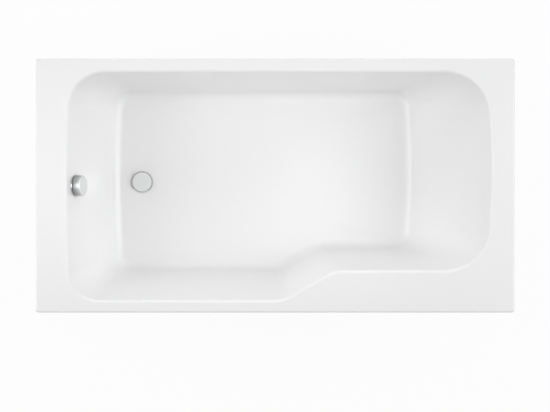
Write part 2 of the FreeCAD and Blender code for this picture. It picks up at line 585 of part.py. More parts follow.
def make_waste():
    """The pop-up waste: flange and body clamp the floor of the bath between their seals."""
    at_waste(ring("waste_flange_seal", "Sizes.waste_hole_radius", "Sizes.flange_radius - Sizes.edge_chamfer",
                  "0", "Sizes.flange_seal_thickness"))
    flange = turned("waste_flange", flange_section("Sizes.flange_seal_thickness",
                                                   f"({WASTE_TOP} - Sizes.neck_engagement)"))
    add_bridge(flange, "-Sizes.hub_drop")
    add_round(flange, "Pocket", "stem_bore", "XY_Plane", "-Sizes.hub_drop", "Sizes.stem_radius + Sizes.fit_gap",
              "0", "0", "Sizes.hub_height + Sizes.bridge_height")
    at_waste(flange)
    at_waste(ring("waste_body_seal", "Sizes.waste_hole_radius", "Sizes.waste_recess_radius",
                  WASTE_TOP, "-Sizes.waste_boss"))
    make_waste_body()
    make_plug()
    make_lever()


def add_chamber(body, top, thread_end, bore, floor):
    """Clears the threaded mouth and the chamber of a cup where the spigots reach into them."""
    add_round(body, "Pocket", "mouth", "XY_Plane", top, f"({NECK_RADIUS} + Sizes.thread_gap)", "0", "0",
              f"{top} - {thread_end}")
    add_round(body, "Pocket", "chamber", "XY_Plane", thread_end, bore, "0", "0", f"{thread_end} - ({floor})")


def make_waste_body():
    """The cup under the floor with its outlet neck, hose spigot, cable socket and the lever's ears."""
    thread = f"({NECK_RADIUS} + Sizes.thread_gap)"
    thread_end = f"({WASTE_TOP} - Sizes.neck_engagement - Sizes.edge_chamfer)"
    lip_under = f"({WASTE_TOP} - Sizes.waste_wall)"
    cone_top = f"({WASTE_UNDER} + Sizes.waste_cone)"
    body = turned("waste_body", [
        (PIPE_BORE, OUTLET_END), ("Sizes.outlet_radius", OUTLET_END), ("Sizes.outlet_radius", WASTE_UNDER),
        ("Sizes.waste_cup_radius", cone_top), ("Sizes.waste_cup_radius", lip_under),
        ("Sizes.waste_recess_radius", lip_under), ("Sizes.waste_recess_radius", WASTE_TOP),
        (thread, WASTE_TOP), (thread, thread_end), (CUP_BORE, thread_end),
        (CUP_BORE, f"{cone_top} + Sizes.edge_chamfer"), (PIPE_BORE, f"{WASTE_UNDER} + Sizes.waste_wall")])
    spigot_end = "(Sizes.waste_cup_radius + Sizes.spigot_length)"
    level = "-Sizes.spigot_level"
    add_round(body, "Pad", "spigot", "YZ_Plane", f"-{spigot_end}", SPIGOT_RADIUS, HOSE_SIDE_Y, level,
              f"{spigot_end} - Sizes.waste_cup_radius / 2")
    add_round(body, "Pocket", "spigot_bore", "YZ_Plane", f"-{spigot_end}", SPIGOT_BORE, HOSE_SIDE_Y, level,
              f"{spigot_end} - Sizes.edge_chamfer", backwards=True)
    cable_y = f"({HOSE_SIDE_Y} + Sizes.cable_offset)"
    socket_end = "(Sizes.waste_cup_radius + Sizes.ferrule_length)"
    add_round(body, "Pad", "ferrule", "YZ_Plane", f"-{socket_end}", "Sizes.ferrule_radius", cable_y, level,
              f"{socket_end} - {CUP_BORE} + Sizes.waste_wall")
    add_round(body, "Pocket", "ferrule_bore", "YZ_Plane", f"-{socket_end}",
              "Sizes.cable_radius + Sizes.thread_gap",
              cable_y, level, "Sizes.ferrule_length / 2", backwards=True)
    add_chamber(body, WASTE_TOP, thread_end, CUP_BORE, f"{cone_top} + Sizes.edge_chamfer")
    ear = "Sizes.lever_radius + Sizes.edge_chamfer"
    ears = new_sketch(body, "ear_plan", "XY_Plane", f"{PIVOT_Z} - ({ear})")
    near = "(Sizes.lever_width / 2 + Sizes.fit_gap)"
    far = f"({near} + Sizes.waste_wall)"
    start, end = f"Sizes.lever_arm - ({ear})", f"{CUP_BORE} + Sizes.waste_wall / 2"
    draw_box(ears, start, end, near, far)
    draw_box(ears, start, end, f"-{far}", f"-{near}")
    add_feature(body, "Pad", "ears", ears, f"2 * ({ear})")
    add_round(body, "Pocket", "pin_bore", "XZ_Plane", f"-{far}", "Sizes.pin_radius + Sizes.thread_gap",
              "Sizes.lever_arm", PIVOT_Z, f"2 * {far}", backwards=True)
    at_waste(body)


def make_plug():
    """The plug: a chromed cap on a stem, with the seal that closes on the flange."""
    top = f"({PLUG_UNDER} + Sizes.plug_thickness)"
    socket = f"({PLUG_UNDER} + Sizes.plug_thickness / 2)"
    bore = "(Sizes.stem_radius + Sizes.thread_gap)"
    edge = "Sizes.edge_chamfer"
    cap = turned("plug_cap", [
        ("0", socket), (bore, socket), (bore, PLUG_UNDER), (f"Sizes.plug_radius - {edge}", PLUG_UNDER),
        ("Sizes.plug_radius", f"{PLUG_UNDER} + {edge}"), ("Sizes.plug_radius", top), ("0", top)])
    crown = number("Sizes.plug_radius") - 0.01
    round_edges(cap, cap.Tip, "crown", "Sizes.plug_dome",
                lambda e: e.BoundBox.ZMin > number(top) - 0.01 and e.BoundBox.XMax > crown)
    at_waste(cap)
    at_waste(ring("plug_seal", "Sizes.plug_seal_radius - Sizes.plug_seal_width", "Sizes.plug_seal_radius",
                  f"{FLANGE_TOP} + Sizes.plug_seat_gap", PLUG_UNDER))
    at_waste(turned("plug_stem", [("0", "-Sizes.stem_reach"), ("Sizes.stem_radius", "-Sizes.stem_reach"),
                                  ("Sizes.stem_radius", socket), ("0", socket)]))


def make_lever():
    """The lever that lifts the stem, on its pin between the ears, drawn about its pivot."""
    lever = new_body("lift_lever")
    half = "Sizes.lever_width / 2"
    bar = new_sketch(lever, "bar", "XZ_Plane", f"-{half}")
    draw_box(bar, "-Sizes.lever_arm", "0", "-Sizes.lever_radius", "Sizes.lever_radius")
    add_feature(lever, "Pad", "arm", bar, "Sizes.lever_width")
    add_round(lever, "Pad", "tip", "XZ_Plane", f"-{half}", "Sizes.lever_radius", "-Sizes.lever_arm", "0",
              "Sizes.lever_width")
    add_round(lever, "Pad", "eye", "XZ_Plane", f"-{half}", "Sizes.lever_radius + Sizes.edge_chamfer", "0", "0",
              "Sizes.lever_width")
    add_round(lever, "Pocket", "eye_bore", "XZ_Plane", half, "Sizes.pin_radius + Sizes.fit_gap", "0", "0",
              "Sizes.lever_width")
    pivot_x = f"{WASTE_X} + Sizes.lever_arm"
    place(lever, pivot_x, "Sizes.waste_y", f"{SEAT_Z} + {PIVOT_Z}", Vector(0, -1, 0), LEVER_TURN)
    reach = f"({half} + Sizes.fit_gap + Sizes.waste_wall)"
    pin = new_body("lever_pin")
    add_round(pin, "Pad", "rod", "XZ_Plane", f"-{reach}", "Sizes.pin_radius", "0", "0", f"2 * {reach}")
    place(pin, pivot_x, "Sizes.waste_y", f"{SEAT_Z} + {PIVOT_Z}")


def draw_run(sketch, start, end, legs):
    """A run of straight lines and bends that meet tangentially. The first line goes from start to end; each
    further leg is a straight length, or a bend given as radius and turn, positive to the left."""
    spots = [Vector(number(p[0]), number(p[1]), 0) for p in (start, end)]
    sketch.addGeometry(Part.LineSegment(spots[0], spots[1]), False)
    bind_point(sketch, 0, 1, *start)
    bind_point(sketch, 0, 2, *end)
    tip, heading, leaves = spots[1], math.atan2(spots[1].y - spots[0].y, spots[1].x - spots[0].x), 2
    for index, leg in enumerate(legs, start=1):
        if len(leg) == 1:
            ahead = tip + Vector(math.cos(heading), math.sin(heading), 0) * number(leg[0])
            sketch.addGeometry(Part.LineSegment(tip, ahead), False)
            sketch.addConstraint(Sketcher.Constraint("Tangent", index - 1, leaves, index, 1))
            bind(sketch, Sketcher.Constraint("Distance", index, number(leg[0])), leg[0])
            tip, leaves = ahead, 2
            continue
        radius, turn = number(leg[0]), math.radians(number(leg[1]))
        side = math.copysign(1, turn)
        centre = tip + Vector(-math.sin(heading), math.cos(heading), 0) * radius * side
        first = heading - side * math.pi / 2
        low, high = sorted((first, first + turn))
        circle = Part.Circle(centre, Vector(0, 0, 1), radius)
        sketch.addGeometry(Part.ArcOfCircle(circle, low, high), False)
        enters = 1 if side > 0 else 2
        sketch.addConstraint(Sketcher.Constraint("Tangent", index - 1, leaves, index, enters))
        bind(sketch, Sketcher.Constraint("Radius", index, radius), leg[0])
        bind(sketch, Sketcher.Constraint("Angle", index, abs(turn)), leg[1] if side > 0 else f"-({leg[1]})")
        heading += turn
        tip = centre + Vector(math.cos(first + turn), math.sin(first + turn), 0) * radius
        leaves = 3 - enters


def add_pipe(body, kind, name, profile, spine):
    pipe = body.newObject(f"PartDesign::{kind}", f"{body.Name}_{name}")
    pipe.Profile = profile
    pipe.Spine = spine
    doc.recompute()
    return pipe


SOCKET_FLOOR = f"({OUTLET_END} - Sizes.edge_chamfer)"
SOCKET_TOP = f"({SOCKET_FLOOR} + Sizes.trap_socket)"
SOCKET_BORE = "(Sizes.outlet_radius + Sizes.fit_gap)"
SOCKET_OUTER = f"({SOCKET_BORE} + Sizes.trap_socket_wall)"
TRAP_TURN = f"({SOCKET_FLOOR} - Sizes.pipe_wall)"
TAIL_LEVEL = f"({TRAP_TURN} + Sizes.trap_rise + Sizes.trap_bend)"
TAIL_SOCKET = "(3 * Sizes.trap_bend + Sizes.pipe_wall)"


def make_union(side, low, here):
    """A union nut and its tapered washer on a trap socket whose mouth is at that height; here places them."""
    shoulder = f"({low} + Sizes.washer_height)"
    high = f"({shoulder} + Sizes.pipe_wall)"
    outer = f"({SOCKET_OUTER} + Sizes.thread_gap + Sizes.trap_nut_wall)"
    inner = f"({SOCKET_OUTER} + Sizes.thread_gap)"
    washer = turned(f"trap_{side}_washer", [
        ("Sizes.outlet_radius + Sizes.thread_gap", low), (SOCKET_OUTER, low),
        (SOCKET_OUTER, f"{low} + Sizes.edge_chamfer"), ("Sizes.outlet_radius + Sizes.pipe_wall / 2", shoulder),
        ("Sizes.outlet_radius + Sizes.thread_gap", shoulder)])
    nut = turned(f"trap_{side}_nut", [
        (inner, f"{high} - Sizes.trap_nut_height"), (outer, f"{high} - Sizes.trap_nut_height"),
        (outer, high), (SOCKET_BORE, high), (SOCKET_BORE, shoulder), (inner, shoulder)])
    here(washer)
    here(nut)


def make_trap():
    """The water trap: a U bend and a quarter bend with a socket at each end, its unions, and the tail pipe
    with the bead that stops the drain pipe."""
    body = new_body("trap_bend")
    legs = [("Sizes.trap_bend", "180"), ("Sizes.trap_rise",), ("Sizes.trap_bend", "-90"),
            ("Sizes.pipe_wall",)]
    spine = new_sketch(body, "run", "YZ_Plane")
    draw_run(spine, ("0", SOCKET_FLOOR), ("0", TRAP_TURN), legs)
    outside = new_sketch(body, "outside", "XY_Plane", SOCKET_FLOOR)
    draw_circle(outside, "Sizes.outlet_radius")
    add_pipe(body, "AdditivePipe", "pipe", outside, spine)
    add_round(body, "Pad", "inlet", "XY_Plane", f"{SOCKET_FLOOR} - Sizes.pipe_wall", SOCKET_OUTER, "0", "0",
              "Sizes.trap_socket + Sizes.pipe_wall")
    add_round(body, "Pad", "outlet", "XZ_Plane", f"Sizes.pipe_wall - {TAIL_SOCKET}", SOCKET_OUTER,
              "0", TAIL_LEVEL, "Sizes.trap_socket + Sizes.pipe_wall", backwards=True)
    add_round(body, "Pocket", "inlet_bore", "XY_Plane", SOCKET_TOP, SOCKET_BORE, "0", "0",
              "Sizes.trap_socket")
    add_round(body, "Pocket", "outlet_bore", "XZ_Plane", f"-{TAIL_SOCKET}", SOCKET_BORE, "0", TAIL_LEVEL,
              "Sizes.trap_socket")
    inside = new_sketch(body, "inside", "XY_Plane", SOCKET_FLOOR)
    draw_circle(inside, PIPE_BORE)
    spine_inside = new_sketch(body, "run_inside", "YZ_Plane")
    draw_run(spine_inside, ("0", SOCKET_FLOOR), ("0", TRAP_TURN), legs)
    add_pipe(body, "SubtractivePipe", "bore", inside, spine_inside)
    at_waste(body)
    make_union("inlet", SOCKET_TOP, at_waste)
    tail_y = f"Sizes.waste_y + {TAIL_SOCKET}"

    def at_tail(thing):
        place(thing, WASTE_X, tail_y, f"{SEAT_Z} + {TAIL_LEVEL}", Vector(-1, 0, 0), "90")

    make_union("outlet", "Sizes.trap_socket", at_tail)
    stop = "(Sizes.trap_socket + Sizes.washer_height + Sizes.pipe_wall + Sizes.edge_chamfer)"
    stop_end = f"({stop} + Sizes.pipe_wall)"
    tail_end = f"({stop_end} + Sizes.trap_tail)"
    bead = "(Sizes.outlet_radius + Sizes.pipe_wall / 2)"
    at_tail(turned("trap_tail_pipe", [
        (PIPE_BORE, "Sizes.edge_chamfer"), ("Sizes.outlet_radius", "Sizes.edge_chamfer"),
        ("Sizes.outlet_radius", stop), (bead, stop), (bead, stop_end), ("Sizes.outlet_radius", stop_end),
        ("Sizes.outlet_radius", tail_end), (PIPE_BORE, tail_end)]))


def make_overflow():
    """The overflow: rosette and body clamp the end wall; the knob turns the cable drum behind it."""
    at_overflow(ring("overflow_seal", "Sizes.overflow_hole_radius", "Sizes.overflow_flange_radius",
                     OVERFLOW_TOP, f"{OVERFLOW_TOP} + Sizes.seal_thickness"))
    rosette = turned("overflow_rosette", flange_section("(-Sizes.overflow_recess)",
                                                        f"({OVERFLOW_TOP} - Sizes.neck_engagement)"))
    add_bridge(rosette, "-Sizes.hub_radius")
    add_round(rosette, "Pocket", "spindle_bore", "XY_Plane", "-Sizes.hub_radius",
              "Sizes.spindle_radius + Sizes.fit_gap", "0", "0", "Sizes.hub_height + Sizes.bridge_height")
    at_overflow(rosette)
    make_overflow_body()
    make_knob()


def make_overflow_body():
    """The cup behind the end wall, with the hose spigot and the cable socket pointing down along the wall."""
    thread = f"({NECK_RADIUS} + Sizes.thread_gap)"
    lip_under = f"({OVERFLOW_TOP} - Sizes.waste_wall)"
    bore = "(Sizes.overflow_cup_radius - Sizes.waste_wall)"
    thread_end = f"({OVERFLOW_TOP} - Sizes.neck_engagement - Sizes.edge_chamfer)"
    floor = f"({OVERFLOW_BACK} + Sizes.waste_wall)"
    body = turned("overflow_body", [
        ("0", OVERFLOW_BACK), ("Sizes.overflow_cup_radius", OVERFLOW_BACK),
        ("Sizes.overflow_cup_radius", lip_under), ("Sizes.overflow_flange_radius", lip_under),
        ("Sizes.overflow_flange_radius", OVERFLOW_TOP),
        (thread, OVERFLOW_TOP), (thread, thread_end), (bore, thread_end), (bore, floor), ("0", floor)])
    end = "(Sizes.overflow_cup_radius + Sizes.spigot_length)"
    add_round(body, "Pad", "spigot", "YZ_Plane", end, SPIGOT_RADIUS, "0", HOSE_LEVEL,
              "Sizes.spigot_length + 2 * Sizes.waste_wall", backwards=True)
    add_round(body, "Pocket", "spigot_bore", "YZ_Plane", end, SPIGOT_BORE, "0", HOSE_LEVEL,
              "Sizes.spigot_length + Sizes.overflow_cup_radius / 2")
    socket_end = "(Sizes.overflow_cup_radius + Sizes.ferrule_length)"
    add_round(body, "Pad", "ferrule", "YZ_Plane", socket_end, "Sizes.ferrule_radius",
              "Sizes.cable_offset", HOSE_LEVEL, f"{socket_end} - Sizes.cable_radius", backwards=True)
    add_round(body, "Pocket", "ferrule_bore", "YZ_Plane", socket_end, "Sizes.cable_radius + Sizes.thread_gap",
              "Sizes.cable_offset", HOSE_LEVEL, "Sizes.ferrule_length / 2")
    add_chamber(body, OVERFLOW_TOP, thread_end, bore, floor)
    at_overflow(body)


def make_knob():
    """The knob, a hollow cap with a water notch, and the spindle and cable drum that turn with it."""
    front = "(Sizes.knob_gap + Sizes.knob_height)"
    under = f"({front} - Sizes.knob_wall)"
    socket = f"({front} - 2 * Sizes.knob_wall)"
    bore = "(Sizes.spindle_radius + Sizes.thread_gap)"
    skirt = "(Sizes.knob_radius - Sizes.knob_wall)"
    hub_end = "(Sizes.knob_gap + Sizes.knob_wall)"
    knob = turned("overflow_knob", [
        ("0", socket), (bore, socket), (bore, hub_end),
        ("Sizes.hub_radius", hub_end), ("Sizes.hub_radius", under),
        (skirt, under), (skirt, "Sizes.knob_gap"), ("Sizes.knob_radius", "Sizes.knob_gap"),
        ("Sizes.knob_radius", front), ("0", front)])
    rim = number("Sizes.knob_radius") - 0.01
    round_edges(knob, knob.Tip, "front_edge", "Sizes.knob_edge_radius",
                lambda e: e.BoundBox.ZMin > number(front) - 0.01 and e.BoundBox.XMax > rim)
    notch = new_sketch(knob, "notch_plan", "XY_Plane", "Sizes.knob_gap")
    draw_box(notch, f"{skirt} - Sizes.knob_gap", "Sizes.knob_radius + Sizes.knob_gap",
             "-Sizes.knob_notch / 2", "Sizes.knob_notch / 2")
    add_feature(knob, "Pocket", "notch", notch, "Sizes.knob_gap", backwards=True)
    at_overflow(knob)
    tail = f"({HOSE_LEVEL} - Sizes.cam_thickness)"
    at_overflow(turned("knob_spindle", [("0", tail), ("Sizes.spindle_radius", tail),
                                        ("Sizes.spindle_radius", socket), ("0", socket)]))
    at_overflow(ring("cable_drum", bore, "Sizes.cam_radius", f"{HOSE_LEVEL} - Sizes.cam_thickness / 2",
                     f"{HOSE_LEVEL} + Sizes.cam_thickness / 2"))


def group(label, members):
    """Several like pieces kept together under one name."""
    together = doc.addObject("Part::Compound", label)
    together.Links = members
    for member in members:
        parts.pop(member.Label)
    return keep(label, together)


def make_hose():
    """The ribbed overflow hose, lofted through circles along its run; bore and cuffs are smooth."""
    start, straight, bend_radius = map(number, (HOSE_START, BEND_START, "Sizes.hose_bend"))
    turn, level = math.radians(number(OVERFLOW_TURN)), number(HOSE_LEVEL)
    first = straight - start
    second = number(HOSE_END_X) - number(BEND_END_X)
    total = first + bend_radius * turn + second
    cuff, pitch = number("Sizes.hose_cuff"), number("Sizes.hose_pitch")
    outer, crest, bore = map(number, (HOSE_OUTER, HOSE_CREST, "Sizes.hose_bore"))

    def station(s):
        """The place on the hose's axis s along it, and the direction there."""
        if s <= first:
            return Vector(start + s, 0, level), Vector(1, 0, 0)
        angle = min((s - first) / bend_radius, turn)
        ahead = Vector(math.cos(angle), 0, math.sin(angle))
        rise = bend_radius * (1 - math.cos(angle))
        spot = Vector(straight + bend_radius * math.sin(angle), 0, level + rise)
        return spot + ahead * max(0, s - first - bend_radius * turn), ahead

    def hoop(s, radius):
        spot, ahead = station(s)
        across = Vector(0, 1, 0)
        placed = FreeCAD.Placement(spot, FreeCAD.Rotation(across.cross(ahead), across, ahead, "YZX"))
        circle = Part.Wire(Part.makeCircle(radius))
        circle.Placement = placed
        return circle

    ribs = int((total - 2 * cuff) / pitch)
    width = (total - 2 * cuff) / ribs
    hoops = [hoop(0, outer), hoop(cuff, outer)]
    for index in range(ribs):
        low = cuff + index * width
        hoops += [hoop(low + width * share, radius)
                  for share, radius in ((0.25, outer), (0.45, crest), (0.8, crest), (1.0, outer))]
    hoops.append(hoop(total, outer))
    skin = Part.makeLoft(hoops, True, True)
    marks = sorted({0, first, first + bend_radius * turn, total})
    pieces = []
    for low, high in zip(marks, marks[1:]):
        spot, ahead = station(low)
        if low == first:
            pivot = Vector(straight, 0, level + bend_radius)
            disc = Part.Face(hoop(low, bore))
            pieces.append(disc.revolve(pivot, Vector(0, -1, 0), math.degrees(turn)))
        else:
            pieces.append(Part.makeCylinder(bore, high - low, spot, ahead))
    hose = doc.addObject("Part::Feature", "overflow_hose")
    hose.Shape = skin.cut(pieces[0].fuse(pieces[1:]))
    at_overflow(keep("overflow_hose", hose))


def make_hose_fittings():
    """The clamps on the hose's cuffs, the control cable beside the hose and the clips that tie the two."""
    inner = f"({HOSE_OUTER} + Sizes.thread_gap)"
    outer = f"({inner} + Sizes.clamp_thickness)"
    clamps = []
    for name, low in (("upper", "(Sizes.overflow_cup_radius + Sizes.ferrule_length / 2)"),
                      ("lower", "(Sizes.waste_cup_radius + Sizes.ferrule_length / 2)")):
        clamp = new_body(f"{name}_hose_clamp")
        band = new_sketch(clamp, "band", "YZ_Plane", low)
        draw_circle(band, outer)
        add_feature(clamp, "Pad", "strip", band, "Sizes.clamp_width")
        housing = new_sketch(clamp, "housing", "YZ_Plane", low)
        half = "Sizes.clamp_width / 2"
        draw_box(housing, f"-{half}", half, f"-{outer} - {half}", f"-{HOSE_OUTER}")
        add_feature(clamp, "Pad", "screw_housing", housing, "Sizes.clamp_width")
        add_round(clamp, "Pocket", "bore", "YZ_Plane", low, inner, "0", "0", "Sizes.clamp_width",
                  backwards=True)
        clamps.append(clamp)
    lean_in, lean_up = f"sin({OVERFLOW_TURN})", f"cos({OVERFLOW_TURN})"
    place(clamps[0], f"{OVERFLOW_X} + {HOSE_LEVEL} * {lean_in}", "Sizes.overflow_y",
          f"{OVERFLOW_Z} + {HOSE_LEVEL} * {lean_up}", Vector(0, 1, 0), OVERFLOW_TURN)
    place(clamps[1], WASTE_X, "Sizes.overflow_y", f"{SEAT_Z} - Sizes.spigot_level", Vector(0, 1, 0), "180")
    group("hose_clamps", clamps)

    cable = new_body("control_cable")
    run = new_sketch(cable, "run", "XZ_Plane", "-Sizes.cable_offset")
    draw_run(run, (CABLE_START, HOSE_LEVEL), (BEND_START, HOSE_LEVEL),
             [("Sizes.hose_bend", OVERFLOW_TURN), (f"{CABLE_END_X} - {BEND_END_X}",)])
    sheath = new_sketch(cable, "sheath", "YZ_Plane", CABLE_START)
    draw_circle(sheath, "Sizes.cable_radius", "Sizes.cable_offset", HOSE_LEVEL)
    add_pipe(cable, "AdditivePipe", "sheath_run", sheath, run)
    at_overflow(cable)

    clips = new_body("cable_clips", several=True)
    for name, share in (("upper", "1 / 3"), ("lower", "2 / 3")):
        low = f"({HOSE_START} + ({BEND_START} - {HOSE_START}) * {share})"
        loop = f"({HOSE_CREST} + Sizes.fit_gap + Sizes.clip_wall)"
        eye = "(Sizes.cable_radius + Sizes.thread_gap + Sizes.clip_wall)"
        add_round(clips, "Pad", f"{name}_loop", "YZ_Plane", low, loop, "0", HOSE_LEVEL, "Sizes.clip_width")
        add_round(clips, "Pad", f"{name}_eye", "YZ_Plane", low, eye, "Sizes.cable_offset", HOSE_LEVEL,
                  "Sizes.clip_width")
        add_round(clips, "Pocket", f"{name}_bore", "YZ_Plane", low, f"({HOSE_CREST} + Sizes.fit_gap)", "0",
                  HOSE_LEVEL, "Sizes.clip_width", backwards=True)
        add_round(clips, "Pocket", f"{name}_eye_bore", "YZ_Plane", low, "Sizes.cable_radius + Sizes.thread_gap",
                  "Sizes.cable_offset", HOSE_LEVEL, "Sizes.clip_width", backwards=True)
    at_overflow(clips)


BOARD_BACK_Y = f"({FLOOR_BACK_Y} - Sizes.board_margin)"
BOARD_FRONT_Y = f"({FLOOR_FRONT_Y} + Sizes.board_margin)"
BOARD_LEDGE_Y = f"({FLOOR_LEDGE_Y} + Sizes.board_margin)"
BOARD_RIGHT_X = f"({FLOOR_RIGHT_X} - Sizes.board_margin)"
STEP_HALF = step_reach(FLOOR_FRONT_Y, FLOOR_LEDGE_Y, "Sizes.floor_step_radius")
SHEET_UNDER_Z = f"({BOARD_UNDER_Z} - Sizes.cradle_sheet)"
CRADLE_LEFT_X = f"({FLOOR_LEFT_X} + Sizes.cradle_left_inset)"
CRADLE_RIGHT_X = f"({FLOOR_RIGHT_X} - Sizes.cradle_right_inset)"
BARS = (("cradle_bar_waste", CRADLE_LEFT_X, BOARD_FRONT_Y, FOOT_FRONT_Y),
        ("cradle_bar_head", CRADLE_RIGHT_X, BOARD_LEDGE_Y, FOOT_LEDGE_Y))
BAR_SCREWS = [(x, y) for _, x, front, _ in BARS
              for y in (f"({front} + Sizes.screw_inset)", f"({BOARD_BACK_Y} - Sizes.screw_inset)")]
MIDDLE_SCREWS = [(f"(Sizes.middle_foot_x + Sizes.screw_circle * cos({turn}))",
                  f"(Sizes.middle_foot_y + Sizes.screw_circle * sin({turn}))")
                 for turn in (f"(45 + 90 * {quarter})" for quarter in range(4))]
FEET = [(f"{end}_{side}", x, y) for end, (_, x, _, front) in zip(("waste", "head"), BARS)
        for side, y in (("front", front), ("back", FOOT_BACK_Y))]


def add_holes(body, name, rise, radius, spots, length, backwards=False):
    sketch = new_sketch(body, f"{name}_plan", "XY_Plane", rise)
    for x, y in spots:
        draw_circle(sketch, radius, x, y)
    add_feature(body, "Pocket", name, sketch, length, backwards)


def make_base_board():
    """The board bonded under the floor: level underneath, its top sloped with the floor."""
    body = new_body("base_board")
    plan = new_sketch(body, "plan", "XY_Plane", BOARD_UNDER_Z)
    draw_polygon(plan, [
        (BOARD_LEFT_X, BOARD_FRONT_Y),
        (f"Sizes.floor_step_x - {STEP_HALF} - Sizes.board_margin / 2", BOARD_FRONT_Y),
        (f"Sizes.floor_step_x + {STEP_HALF} - Sizes.board_margin", BOARD_LEDGE_Y),
        (BOARD_RIGHT_X, BOARD_LEDGE_Y), (BOARD_RIGHT_X, BOARD_BACK_Y), (BOARD_LEFT_X, BOARD_BACK_Y)])
    rise = f"({BOARD_RIGHT_X} - {BOARD_LEFT_X}) * tan(Sizes.floor_fall)"
    add_feature(body, "Pad", "slab", plan, f"2 * Sizes.board_thickness + {rise}")
    slope = new_sketch(body, "slope", "XY_Plane", FLOOR_UNDER_Z, FALL)
    half_x, half_y = "Sizes.bath_length / 2", "Sizes.bath_width / 2"
    draw_box(slope, f"-{half_x}", half_x, f"-{half_y}", half_y)
    add_feature(body, "Pocket", "slope_cut", slope, f"4 * Sizes.board_thickness + {rise}", backwards=True)
    add_holes(body, "pilot_holes", BOARD_UNDER_Z, "Sizes.screw_radius + Sizes.thread_gap",
              BAR_SCREWS + MIDDLE_SCREWS, "Sizes.screw_length + Sizes.edge_chamfer", backwards=True)


def make_cradle():
    """Two folded steel channels under the board, with their screws, nuts, rods and pads."""
    half = "Sizes.cradle_width / 2"
    bottom = f"{BOARD_UNDER_Z} - Sizes.cradle_height"
    for name, x, _, foot_y in BARS:
        bar = new_body(name)
        front, back = f"{foot_y} - Sizes.cradle_overhang", f"{FOOT_BACK_Y} + Sizes.cradle_overhang"
        plan = new_sketch(bar, "plan", "XY_Plane", bottom)
        draw_box(plan, f"{x} - {half}", f"{x} + {half}", front, back)
        add_feature(bar, "Pad", "blank", plan, "Sizes.cradle_height")
        hollow = new_sketch(bar, "hollow", "XY_Plane", bottom)
        inner = f"({half} - Sizes.cradle_sheet)"
        draw_box(hollow, f"{x} - {inner}", f"{x} + {inner}", f"{front} - {half}", f"{back} + {half}")
        add_feature(bar, "Pocket", "fold", hollow, "Sizes.cradle_height - Sizes.cradle_sheet", backwards=True)
        rods = [(x, foot_y), (x, FOOT_BACK_Y)]
        add_holes(bar, "rod_holes", BOARD_UNDER_Z, "Sizes.rod_radius + Sizes.fit_gap", rods,
                  "Sizes.cradle_height / 2")
        screws = [spot for spot in BAR_SCREWS if spot[0] == x]
        add_holes(bar, "screw_holes", BOARD_UNDER_Z, "Sizes.screw_radius + Sizes.thread_gap", screws,
                  "Sizes.cradle_height / 2")
    make_screws("cradle_screws", SHEET_UNDER_Z, BAR_SCREWS, "Sizes.cradle_sheet")
    lock_level = f"{SHEET_UNDER_Z} - Sizes.nut_height"
    for name, level in (("foot_top_nuts", BOARD_UNDER_Z), ("foot_lock_nuts", lock_level)):
        nuts = new_body(name, several=True)
        plan = new_sketch(nuts, "plan", "XY_Plane", level)
        for _, x, y in FEET:
            draw_hexagon(plan, "Sizes.nut_flats", x, y)
            draw_circle(plan, "Sizes.rod_radius + Sizes.fit_gap", x, y)
        add_feature(nuts, "Pad", "hexagons", plan, "Sizes.nut_height")
    for name, x, y in FEET:
        make_foot(name, x, y, f"{BOARD_UNDER_Z} + Sizes.nut_height + Sizes.rod_above_nut")


def make_screws(label, head_top, spots, sheet_thickness):
    """A set of wood screws driven upwards, heads against the steel."""
    screws = new_body(label, several=True)
    heads = new_sketch(screws, "heads", "XY_Plane", head_top)
    shanks = new_sketch(screws, "shanks", "XY_Plane", head_top)
    for x, y in spots:
        draw_circle(heads, "Sizes.screw_head_radius", x, y)
        draw_circle(shanks, "Sizes.screw_radius", x, y)
    add_feature(screws, "Pad", "head", heads, "Sizes.screw_head_height", backwards=True)
    add_feature(screws, "Pad", "shank", shanks, f"Sizes.screw_length + {sheet_thickness}")


def make_foot(name, x, y, top):
    """A screwed rod and the pad it stands in."""
    rod = doc.addObject("Part::Cylinder", f"foot_rod_{name}")
    rod.setExpression("Radius", "Sizes.rod_radius")
    rod.setExpression("Height", f"{top} - Sizes.pad_floor")
    place(keep(f"foot_rod_{name}", rod), x, y, "Sizes.pad_floor")
    bore = "(Sizes.rod_radius + Sizes.thread_gap)"
    collar = f"({bore} + Sizes.pad_wall)"
    place(turned(f"foot_pad_{name}", [
        ("0", "0"), ("Sizes.pad_radius", "0"), ("Sizes.pad_radius", "Sizes.pad_wall"),
        (collar, "Sizes.pad_floor + Sizes.pad_wall"), (collar, "Sizes.pad_height"), (bore, "Sizes.pad_height"),
        (bore, "Sizes.pad_floor"), ("0", "Sizes.pad_floor")]), x, y)


def make_middle_foot():
    """The middle foot: a plate with a threaded sleeve under the board, its screws, rod and pad."""
    under = f"({BOARD_UNDER_Z} - Sizes.middle_plate)"
    sleeve_end = "(Sizes.pad_height + Sizes.sleeve_above_pad)"
    bore = "(Sizes.rod_radius + Sizes.fit_gap)"
    plate = turned("middle_foot_plate", [
        ("0", under), (bore, under), (bore, sleeve_end), ("Sizes.middle_sleeve_radius", sleeve_end),
        ("Sizes.middle_sleeve_radius", under), ("Sizes.middle_plate_radius", under),
        ("Sizes.middle_plate_radius", BOARD_UNDER_Z), ("0", BOARD_UNDER_Z)])
    spots = [(f"{x} - Sizes.middle_foot_x", f"{y} - Sizes.middle_foot_y") for x, y in MIDDLE_SCREWS]
    add_holes(plate, "screw_holes", BOARD_UNDER_Z, "Sizes.screw_radius + Sizes.thread_gap", spots,
              "2 * Sizes.middle_plate")
    place(plate, "Sizes.middle_foot_x", "Sizes.middle_foot_y")
    make_screws("middle_foot_screws", under, MIDDLE_SCREWS, "Sizes.middle_plate")
    make_foot("middle", "Sizes.middle_foot_x", "Sizes.middle_foot_y", f"{under} - Sizes.fit_gap")


